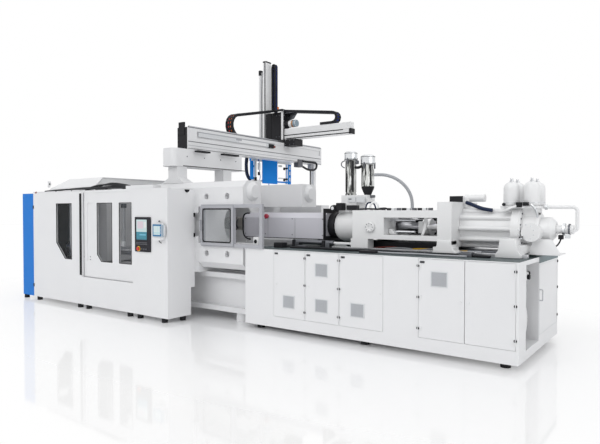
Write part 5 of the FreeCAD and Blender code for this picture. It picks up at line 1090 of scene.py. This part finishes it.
# Bolted rings, couplings, hoses and valves of the injection unit.
rides("injection_unit",
      joined("unit_boss",
             [lathe("boss_rim", "Y", (2.75, -0.581, SCREW_Z),
                    [(0.01, 0.0), (0.01, 0.03), (-0.004, 0.034), (-0.01, 0.068), (-0.004, 0.08),
                     (0.02, 0.082)], UNIT),
              around(bolt("boss_bolt", (2.75, -0.59, 1.789), "-Y", 0.007, DARK_STEEL),
                     (2.75, -0.59, SCREW_Z), "Y", 8)]),
      around(bolt("flange_bolts", (1.8585, 0, 1.935), "+X", 0.013, DARK_STEEL, 0.012),
             (1.8585, 0, SCREW_Z), "X", 16, 0.2),
      around(bolt("cap_bolts", (5.055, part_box("drive_housing")[0].y - AXIS + 0.0005, 1.8), "-Y", 0.01,
                  ALLOY_Z, 0.008), (5.055, -0.5, 1.7), "Y", 10),
      around(bolt("disc_bolts", (4.9155, 0, 2.015), "+X", 0.012, DARK_STEEL, 0.012), (4.9155, 0, SCREW_Z),
             "X", 20, 0.1),
      tube("top_hose",
           [(2.45, -0.46, 2.005), (2.6, -0.44, 2.015), (2.8, -0.47, 2.01), (2.95, -0.42, 2.005)], 0.014,
           HOSE_BLACK),
      joined("top_terminals",
             [block("terminal", (2.98 + 0.085 * step, -0.45, 1.988), (3.03 + 0.085 * step, -0.38, 2.026),
                    (BLACK, ALLOY_X, KEY)[step % 3], 0.003) for step in range(9)]),
      tube("navy_hose",
           [(4.1, -0.06, 2.105), (4.17, -0.11, 2.085), (4.27, -0.14, 2.045), (4.38, -0.15, 2.005),
            (4.5, -0.145, 1.99)], 0.027, NAVY),
      block("coupling_backing", (2.99, 0.412, 1.6), (3.83, 0.427, 1.9), PLASTIC, 0.004),
      joined("window_rods",
             [tube("window_rod", [(2.985, across, z), (3.4, across, z)], 0.022, STEEL_X, 2)
              for across in (-0.33, 0.33) for z in (1.66, 1.84)]),
      outline("window_band", "XZ",
              [(3.52, 1.6), (3.56, 1.6), (3.6, 1.7), (3.62, 1.8), (3.61, 1.9), (3.57, 1.9), (3.575, 1.8),
               (3.555, 1.7)], (-0.4, -0.36), UNIT, 0.004),
      group("unit_feet", outline,
            ("XZ",
             [(3.775, 1.3525), (4.12, 1.3525), (4.12, 1.395), (4.08, 1.43), (4.055, 1.5), (4.055, 1.56),
              (3.84, 1.56), (3.84, 1.5), (3.815, 1.43), (3.775, 1.395)], (-0.565, -0.34), UNIT, 0.01),
            ("XZ",
             [(4.665, 1.3525), (5.0, 1.3525), (5.0, 1.4), (4.955, 1.45), (4.93, 1.61), (4.725, 1.61),
              (4.7, 1.45), (4.665, 1.4)], (-0.565, -0.34), UNIT, 0.01)),
      outline("coupling_wedge", "XZ", [(2.99, 1.62), (3.12, 1.62), (3.04, 1.7), (2.99, 1.7)],
              (-0.4, -0.33), UNIT, 0.004),
      group("drive_slots", block,
            ((5.13, -0.2, 1.93), (5.1345, -0.08, 1.955), PLASTIC, 0.002),
            ((4.953, -0.5, 1.62), (4.965, -0.318, 1.64), PLASTIC, 0.002)))


def accumulator_bottles():
    """Four bottles with domed shoulders on their manifold, with valves and pipes before them."""
    places = [(x, across) for x in (4.765, 5.033) for across in (-0.15, 0.15)]
    bottles = joined(
        "accumulator_bottles",
        [lathe("bottle", "Z", (x, across, 2.05),
               [(0, 0), (0, 0.086), (0.01, 0.1), (0.026, 0.107), (0.235, 0.107), (0.275, 0.101),
                (0.305, 0.085), (0.325, 0.06), (0.334, 0.035), (0.345, 0.033), (0.345, 0)],
               UNIT, 44, 40) for x, across in places])
    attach(bottles, "injection_unit")
    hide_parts("accumulators")
    return rides(
        "injection_unit",
        joined("bottle_necks",
               [lathe("bottle_neck", "Z", (x, across, 2.392),
                      [(0, 0), (0, 0.026), (0.014, 0.026), (0.016, 0.016), (0.03, 0.016), (0.034, 0.009),
                       (0.034, 0)], ALLOY_Z, 24) for x, across in places]),
        joined("bottle_prongs",
               [block("bottle_prong", (x - 0.005, across + side - 0.006, 2.372),
                      (x + 0.005, across + side + 0.006, 2.435), STEEL, 0.002) for x, across in places
                for side in (-0.05, 0.05)]),
        joined("bottle_collars",
               [lathe("bottle_collar", "Z", (x, across, 2.088), ring(0.1065, 0.1085, 0.012), ALLOY_X, 40)
                for x, across in places]),
        joined("manifold_valves",
               [block("manifold_valve", (4.86, -0.29, 2.03), (4.93, -0.22, 2.1), PLASTIC, 0.006),
                block("manifold_valve", (4.95, -0.3, 2.05), (5.02, -0.24, 2.1), PLASTIC, 0.006),
                lathe("manifold_knob", "Y", (4.7, -0.275, 2.07),
                      [(0, 0), (0, 0.022), (-0.03, 0.022), (-0.035, 0)], PLASTIC, 20),
                tube("manifold_pipe",
                     [(4.9, -0.26, 2.06), (4.8, -0.3, 2.03), (4.74, -0.32, 1.99), (4.66, -0.3, 1.97)],
                     0.016, UNIT),
                tube("manifold_pipe",
                     [(5.05, -0.27, 2.07), (5.1, -0.29, 2.03), (5.12, -0.25, 1.96), (5.12, -0.2, 1.9)],
                     0.016, ALLOY_Z)]))


accumulator_bottles()


# What stands about the gearbox: the sloped guard, connectors and the pipe's collars.
rides("injection_unit",
      outline("drive_guard", "XZ", [(5.02, 1.395), (5.4, 1.395), (5.4, 1.42), (5.3, 1.6), (5.06, 1.6)],
              (-0.2, -0.185), UNIT, 0.003),
      block("drive_guard_foot", (5.0, -0.2, 1.385), (5.4, 0.2, 1.4), UNIT, 0.004),
      group("return_collars", lathe,
            ("X", (5.17, 0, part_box("return_pipe")[1].z - 0.024), ring(0.02, 0.036, 0.03), ALLOY_X, 24),
            ("X", (5.4, 0, SCREW_Z), ring(0.058, 0.085, 0.03), ALLOY_X, 32),
            ("X", (5.47, 0, SCREW_Z), ring(0.058, 0.078, 0.02), DARK_STEEL, 32)),
      joined("drive_plugs",
             [block("drive_plug", (5.36, -0.12, 1.6), (5.42, -0.05, 1.66), PLASTIC, 0.006),
              block("drive_plug", (5.44, -0.1, 1.615), (5.5, -0.04, 1.67), ALLOY_X, 0.006),
              tube("drive_lead",
                   [(5.39, -0.085, 1.61), (5.37, -0.1, 1.52), (5.25, -0.12, 1.46), (5.1, -0.16, 1.43)],
                   0.01, HOSE_BLACK)]))


# ---- the loaders -----------------------------------------------------------------------------

CONE_X = 2.4


def loader(node, low, waist, cap_low, high, radius, cap, cone):
    """A loader: its sight tube, its cap with a dark rim, and the rings that hold both."""
    left, right = (corner.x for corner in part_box(node))
    x, across = CONE_X if cone else (left + right) / 2, 0.0
    foot = ([(low, 0), (low, 0.055), (waist - 0.03, radius), (waist, radius + 0.003)] if cone
            else [(low, 0), (low, radius + 0.008), (low + 0.03, radius + 0.008), (low + 0.03, radius)])
    profile = [(z - low, wide) for z, wide in foot] + [
        (cap_low - low - 0.006, radius), (cap_low - low - 0.006, cap - 0.006), (cap_low - low, cap),
        (high - low - 0.03, cap), (high - low - 0.008, cap - 0.014), (high - low, cap - 0.03),
        (high - low, 0)]
    body = lathe(node + "_turned", "Z", (x, across, low), profile, SIGHT_TUBE, 48, 28)
    patch(body, LOADER_CAP, ((x - 0.2, -0.2, cap_low - 0.01), (x + 0.2, 0.2, high + 0.01)))
    if cone:
        patch(body, PLASTIC, ((x - 0.2, -0.2, low - 0.01), (x + 0.2, 0.2, waist - 0.001)))
    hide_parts(node)
    rings = joined(
        node + "_rings",
        [lathe("loader_ring", "Z", (x, across, z), ring(wide - 0.004, wide + 0.004, 0.008), RUBBER, 40)
         for z, wide in ((cap_low + 0.004, cap), (high - 0.034, cap - 0.001))])
    clips = around(
        block("loader_clip", (x + radius - 0.002, -0.012, cap_low - 0.075),
              (x + cap + 0.006, 0.012, cap_low + 0.03), DARK_STEEL, 0.003), (x, 0, cap_low), "Z", 3, 0.5)
    clips.name = node + "_clips"
    strips = around(
        block("loader_strip", (x + radius - 0.002, -0.014, waist + 0.01),
              (x + radius + 0.007, 0.014, cap_low - 0.02), PLASTIC, 0.002), (x, 0, cap_low), "Z", 4, 0.95)
    strips.name = node + "_strips"
    return rides("injection_unit", body, rings, clips, strips)


LOADER_CAP = ground("loader_cap_steel", "E4E6E8", 0.22, "Z", 60)
loader("feeder_tall", 2.245, 2.29, 2.85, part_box("feeder_tall")[1].z, 0.088, 0.108, False)
loader("feeder_short", 2.245, 2.39, 2.76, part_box("feeder_short")[1].z, 0.105, 0.12, True)


# The dosing motor, its box, the bridge between the loaders and their leads.
rides("injection_unit",
      lathe("dosing_motor", "Y", (1.905, -0.17, 2.025),
            [(0, 0), (0, 0.05), (-0.02, 0.058), (-0.11, 0.058), (-0.115, 0.05), (-0.15, 0.05),
             (-0.155, 0.03), (-0.155, 0)], PLASTIC, 32),
      lathe("dosing_disc", "Y", (1.905, -0.322, 2.025), knob(0.028, -0.008, -0.01, 0.02), ALLOY_X, 24),
      block("dosing_gear", (1.955, -0.3, 1.992), (2.075, -0.172, 2.115), PLASTIC, 0.012),
      block("dosing_box", (2.14, -0.26, 1.993), (2.34, -0.172, 2.075), BLACK, 0.008),
      block("feeder_plate", (2.11, -0.176, 2.12), (2.44, -0.1695, 2.215), PALE, 0.004),
      group("feeder_slots", block,
            ((2.13, -0.179, 2.172), (2.19, -0.1755, 2.186), PLASTIC, 0.001),
            ((2.27, -0.179, 2.135), (2.276, -0.1755, 2.205), KEY, 0.001)),
      joined("loader_bridge",
             [tube("loader_pipe", [(2.158, 0, 2.72), (2.22, 0, 2.7), (2.3, 0, 2.745)], 0.024, PLASTIC),
              block("loader_valve", (2.175, -0.03, 2.775), (2.215, 0.03, 2.835), DARK_STEEL, 0.006)]),
      tube("loader_hook",
           [(1.965, -0.02, 2.84), (1.9, -0.03, 2.83), (1.895, -0.03, 2.74), (1.96, -0.02, 2.72)], 0.009,
           DARK_STEEL),
      tube("lead_arch",
           [(2.475, -0.2, 1.995), (2.475, -0.2, 2.11), (2.6, -0.2, 2.12), (2.655, -0.2, 2.06),
            (2.66, -0.2, 1.995)], 0.013, NAVY),
      tube("unit_lead",
           [(2.67, -0.22, 2.01), (2.75, -0.22, 2.02), (2.85, -0.24, 2.025), (2.92, -0.3, 2.012),
            (2.97, -0.34, 2.008)], 0.014, HOSE_BLACK),
      block("cone_tap", (2.44, -0.03, 2.2), (2.53, 0.03, 2.245), DARK_STEEL, 0.01))


# ---- the robot -------------------------------------------------------------------------------

# The servo's neck and rings, its bracket, and the screws of the portal and the skirt.
rides("robot_traverse",
      group("servo_rings", lathe,
            ("X", (-1.218, 2.45, 4.075),
             [(0, 0.07), (0, 0.088), (0.02, 0.093), (0.1, 0.093), (0.115, 0.086), (0.115, 0.07)], PLASTIC,
             40),
            ("X", (-1.02, 2.45, 4.075), ring(0.08, 0.0885, 0.045), BRONZE, 40),
            ("X", (-0.973, 2.45, 4.075),
             [(0, 0.08), (0, 0.0875), (0.06, 0.0875), (0.078, 0.075), (0.08, 0.0)], PENDANT_GREY, 40)),
      joined("servo_bracket",
             [block("servo_shelf", (-1.219, 2.37, 4.325), (-0.88, 2.53, 4.338), DARK_STEEL, 0.003),
              outline("servo_web", "XZ", [(-1.219, 4.326), (-0.93, 4.326), (-1.03, 4.2), (-1.219, 4.16)],
                      (2.5, 2.512), DARK_STEEL, 0.003)]),
      bolts("portal_screws",
            [(-1.2195, across, z) for across in (2.352, 2.548) for z in (4.0, 4.15, 4.28, 4.39)], "+X",
            0.012, ALLOY_X, 0.006),
      bolts("skirt_screws", [(x, 2.3, z) for x in (-1.13, -1.0, -0.88) for z in (3.565, 3.655)], "-Y",
            0.012, DARK_STEEL, 0.005))


# The dark slot and rail along the strip beam, its end block, and the holder's screws and plates.
rides("robot_strip",
      block("strip_slot", (-1.27, 2.3762, 3.7875), (0.43, 2.388, 3.8095), PLASTIC, 0.002),
      block("strip_rail", (-1.16, 2.3762, 3.7055), (0.6, 2.388, 3.7305), PLASTIC, 0.003),
      block("strip_end", (0.598, 2.362, 3.692), (0.65, 2.54, 3.815), PLASTIC, 0.006),
      bolts("holder_screws",
            [(x, 2.3505, z) for x in (-1.7, -1.45, -1.36) for z in (3.78, 3.98, 4.14, 4.29)], "-Y", 0.013,
            KEY, 0.005),
      group("holder_plates", block,
            ((-1.775, 2.343, 3.72), (-1.6, 2.352, 4.34), PLASTIC, 0.004),
            ((-1.5, 2.343, 3.8), (-1.33, 2.352, 4.28), BLACK, 0.004)))


RACK_PITCH, RACK_TEETH = 0.036, 58


def arm_fittings():
    """The arm's cap, its brackets, its rack and the lines that run down the slim profile."""
    cap = block("arm_cap", (-1.875, 2.345, 5.64), (-1.775, 2.555, 5.675), PLASTIC, 0.006)
    brackets = joined(
        "slim_brackets",
        [block("slim_bracket", (-2.055, 2.395, z), (-1.985, 2.505, z + 0.12), PLASTIC, 0.005)
         for z in (3.5, 3.66, 5.36)])
    teeth = block("rack_tooth", (-1.8135, 2.3335, 3.5), (-1.781, 2.3365, 3.512), KEY, 0.0)
    return rides(
        "robot_arm", cap, brackets,
        row("arm_rack", teeth, (0, 0, RACK_PITCH), RACK_TEETH),
        joined("arm_lines",
               [tube("arm_line",
                     [(-1.93, 2.36 + 0.018 * k, 3.46), (-1.925, 2.36 + 0.018 * k, 4.2),
                      (-1.93, 2.36 + 0.018 * k, 5.2), (-1.9, 2.38, 5.45)], 0.007, material)
                for k, material in enumerate((HOSE_GREY, HOSE_BLACK))]))


arm_fittings()


# The gripper's ribbed conduit, its air lines, the works by the near slat, its stubs and holes.
rides("gripper",
      ribbed_hose(
          "gripper_conduit",
          route_line(
              [(-1.825, 2.12, 3.4), (-1.828, 1.98, 3.405), (-1.86, 1.855, 3.395), (-1.93, 1.815, 3.3),
               (-1.955, 1.815, 3.1), (-1.94, 1.815, 2.9), (-1.89, 1.83, 2.77), (-1.83, 1.85, 2.715)]),
          0.043, 0.024, 0.006, NAVY),
      group("air_lines", tube,
            ([(-1.8, 1.96, 3.24), (-1.79, 1.93, 3.2), (-1.785, 1.92, 3.0), (-1.79, 1.93, 2.8),
              (-1.8, 1.97, 2.74)], 0.008, HOSE_LIGHT),
            ([(-1.79, 2.08, 3.24), (-1.775, 2.12, 3.1), (-1.78, 2.1, 2.95), (-1.775, 2.14, 2.8),
              (-1.79, 2.12, 2.74)], 0.008, HOSE_BLUE),
            ([(-1.8, 3.3, 3.24), (-1.79, 3.27, 3.05), (-1.79, 3.28, 2.9), (-1.8, 3.26, 2.75)], 0.007,
             HOSE_LIGHT)),
      group("gripper_works", block,
            ((-1.8, 2.055, 2.98), (-1.755, 2.115, 3.15), ALLOY_Z, 0.006),
            ((-1.8, 2.06, 2.85), (-1.762, 2.11, 2.93), PLASTIC, 0.006),
            ((-1.8, 1.94, 2.7), (-1.77, 2.0, 2.8), PLASTIC, 0.006),
            ((-1.806, 2.86, 3.1), (-1.765, 2.98, 3.15), ALLOY_X, 0.005),
            ((-1.806, 2.86, 2.8), (-1.765, 3.02, 2.83), ALLOY_X, 0.005)),
      joined("grip_stubs",
             [lathe("grip_stub", "X", (-1.795, across, z), knob(0.022, 0.05, 0.055, 0.014), PLASTIC, 20)
              for across in (3.08, 3.17) for z in (2.8, 3.08)]),
      joined("slat_holes",
             [outline("slat_hole", "YZ", oblong(3.345, 3.385, z, z + 0.09), (-1.8125, -1.8105), UNIT, 0.0)
              for z in (2.76, 2.92, 3.06)]))


def beam_fittings():
    """The beam's channel with a painted shadow under its top, its lines, the device in the channel, the cable's
    loop and the console's openings.
    """
    device = group(
        "channel_device", block,
        ((-1.178, 1.72, 3.44), (-1.15, 1.9, 3.53), PLASTIC, 0.008),
        ((-1.155, 1.88, 3.45), (-1.135, 1.93, 3.5), BROWN_RED, 0.006))
    loop = tube(
        "beam_loop",
        [(-1.21, 3.00, 3.13), (-1.19, 3.1, 3.09), (-1.17, 3.26, 3.03), (-1.16, 3.46, 3.02),
         (-1.15, 3.61, 3.06), (-1.145, 3.65, 3.16), (-1.14, 3.6, 3.225), (-1.14, 3.44, 3.225),
         (-1.15, 3.2, 3.22), (-1.155, 3.02, 3.23)], 0.026, HOSE_BLACK)
    box = block("beam_junction", (-1.29, 2.84, 3.07), (-1.15, 3.04, 3.26), KEY, 0.012)
    channel_and_shadow = group(
        "beam_slots", block,
        # The grey strip along the channel's top edge is a painted shadow under the channel's upper lip.
        ((-1.178, -0.47, 3.535), (-1.1665, 1.95, 3.556), GREY, 0.002),
        ((-1.178, -0.47, 3.455), (-1.1675, 1.95, 3.535), PALE, 0.002),
        ((-1.177, 0.72, 3.465), (-1.166, 1.62, 3.528), UNIT, 0.002),
        ((-1.178, 0.62, 3.5), (-1.164, 0.8, 3.556), GREY, 0.003))
    openings = joined(
        "console_openings",
        [block("console_opening", (-1.12, start, 3.132), (-1.0215, end, 3.165), PLASTIC, 0.002)
         for start, end in ((-0.62, -0.28), (0.1, 0.56))])
    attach(openings, "machine")
    lines = joined(
        "beam_lines",
        [block("beam_line", (-1.178, -0.74, z), (-1.1665, 3.87, z + high), material, 0.002)
         for z, high, material in ((3.335, 0.014, KEY), (3.262, 0.008, HOSE_GREY), (3.2, 0.01, KEY))])
    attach(lines, "machine")
    return rides(
        "machine", device, loop, box, channel_and_shadow,
        block("beam_edge", (-1.19, -0.74, 3.612), (-1.163, 3.87, 3.624), DARK_STEEL, 0.002))


beam_fittings()


# The slot under the robot's console and the screws along it.
rides("machine",
      block("console_slot", (-1.03, -1.0, 2.83), (-1.012, 0.78, 2.845), PLASTIC, 0.003),
      bolts("console_screws", [(-1.02, across, 3.02) for across in (-0.9, -0.45, 0.0, 0.45)], "+X", 0.012,
            KEY, 0.004))


# ---- the energy chains -----------------------------------------------------------------------

def chain_link(pitch, wide, deep):
    """One link: two side plates with eased ends and the bars across them, about the origin."""
    half, side, up, middle = pitch / 2 + 0.003, wide / 2, deep / 2, -AXIS
    plates = [
        block("plate", (-half, middle + start, -up), (half, middle + start + 0.014, up), CHAIN, 0.006)
        for start in (-side, side - 0.014)]
    bars = [block("bar", (-pitch * 0.27, middle - side + 0.008, low),
                  (pitch * 0.27, middle + side - 0.008, low + 0.009), CHAIN, 0.002)
            for low in (-up + 0.001, up - 0.01)]
    return joined("link", plates + bars)


def chain_section(name, node, line, side, link, pitch, hoses, blend_from, blend_to, rise):
    """Links along a line of places, with hoses inside."""
    steps = even_steps([at(*spot) for spot in line], pitch)
    across = Vector(side)
    parts = []
    for before, after in zip(steps, steps[1:]):
        if (after - before).length < pitch * 0.5:
            continue
        forward = (after - before).normalized()
        inward = forward.cross(across)
        turn = Matrix((forward, across, inward)).transposed().to_4x4()
        parts.append(moved(link, turn=Matrix.Translation((before + after) / 2 + inward * rise) @ turn))
    for offset, radius, material in hoses:
        spots = [Vector(spot) + across * offset for spot in line]
        parts.append(tube("chain_hose", spots, radius, material, 2 if len(spots) < 4 else 3, 3))
    piece = joined(name, parts)
    at(*blend_from)
    at(*blend_to)
    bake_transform(piece)
    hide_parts(node)
    return piece


def bend(centre, radius, start, sweep, plane):
    """Places along an arc about a centre, in the plane across the machine or along it."""
    spots = []
    for step in range(17):
        angle = math.radians(start + sweep * step / 16)
        flat, up = radius * math.cos(angle), radius * math.sin(angle)
        x, across, z = centre
        spots.append((x, across + flat, z + up) if plane == "YZ" else (x + flat, across, z + up))
    return spots


def energy_chain(node, bodies, side, link_size, cables, *runs, rise=0.005):
    """A chain in three pieces: a run on its fixed side, a bend and a run on its moving side."""
    link = chain_link(*link_size)
    for name, line, pitch, start, end in runs:
        chain_section(name, node, line, side, link, pitch, cables, start, end, rise)
    bpy.data.objects.remove(link)


energy_chain(
    "chain_traverse", ("machine", "robot_traverse"), (1, 0, 0), (0.088, 0.2, 0.062),
    [(-0.06, 0.013, HOSE_BLACK), (-0.03, 0.011, RED), (0.0, 0.015, HOSE_BLACK), (0.035, 0.01, ORANGE),
     (0.062, 0.013, HOSE_BLACK)],
    ("traverse_chain_low", [(-1.56, 1.75, 3.6463), (-1.56, 1.071, 3.6463)], 0.088, (-1.56, 1.75, 3.65),
     (-1.56, 0.0735, 3.65)),
    ("traverse_chain_bend", bend((-1.56, 1.071, 3.8963), 0.25, -90, -180, "YZ"), 0.087,
     (-1.56, 0.9, -36.6), (-1.56, 0.9, 63.4)),
    ("traverse_chain_high", [(-1.56, 1.071, 4.1463), (-1.56, 2.28, 4.404)], 0.088, (-1.56, 0.248, 4.2),
     (-1.56, 2.28, 4.2)))
energy_chain(
    "chain_strip", ("robot_traverse", "robot_strip"), (0, 1, 0), (0.068, 0.17, 0.062),
    [(-0.05, 0.013, HOSE_BLUE), (-0.02, 0.011, HOSE_BLACK), (0.01, 0.013, HOSE_BLUE),
     (0.045, 0.013, HOSE_BLACK)],
    ("strip_chain_low", [(-0.18, 2.45, 3.9833), (0.145, 2.45, 3.9833)], 0.065, (0.47, 2.45, 4),
     (-0.18, 2.45, 4)),
    ("strip_chain_bend", bend((0.145, 2.45, 4.1033), 0.12, -90, 180, "XZ"), 0.063, (0.15, 2.45, -46),
     (0.15, 2.45, 54)),
    ("strip_chain_high", [(0.145, 2.45, 4.2233), (-1.21, 2.45, 4.394)], 0.068, (-1.21, 2.45, 4.3),
     (1.5, 2.45, 4.3)))
energy_chain(
    "chain_arm", ("robot_strip", "robot_arm"), (0, 1, 0), (0.05, 0.09, 0.052),
    [(-0.02, 0.011, NAVY), (0.012, 0.012, HOSE_BLUE)],
    ("arm_chain_up", [(-1.66, 2.5953, 4.37), (-1.66, 2.5953, 5.563)], 0.0497, (-1.66, 2.5953, 4.37),
     (-1.66, 2.5953, 6.756)),
    ("arm_chain_bend", bend((-1.705, 2.5953, 5.563), 0.045, 0, 180, "XZ"), 0.045, (48.3, 2.5953, 5.57),
     (-51.7, 2.5953, 5.57)),
    ("arm_chain_down", [(-1.75, 2.5953, 5.563), (-1.75, 2.5953, 4.5)], 0.0505, (-1.75, 2.5953, 6.626),
     (-1.75, 2.5953, 4.5)), rise=0)
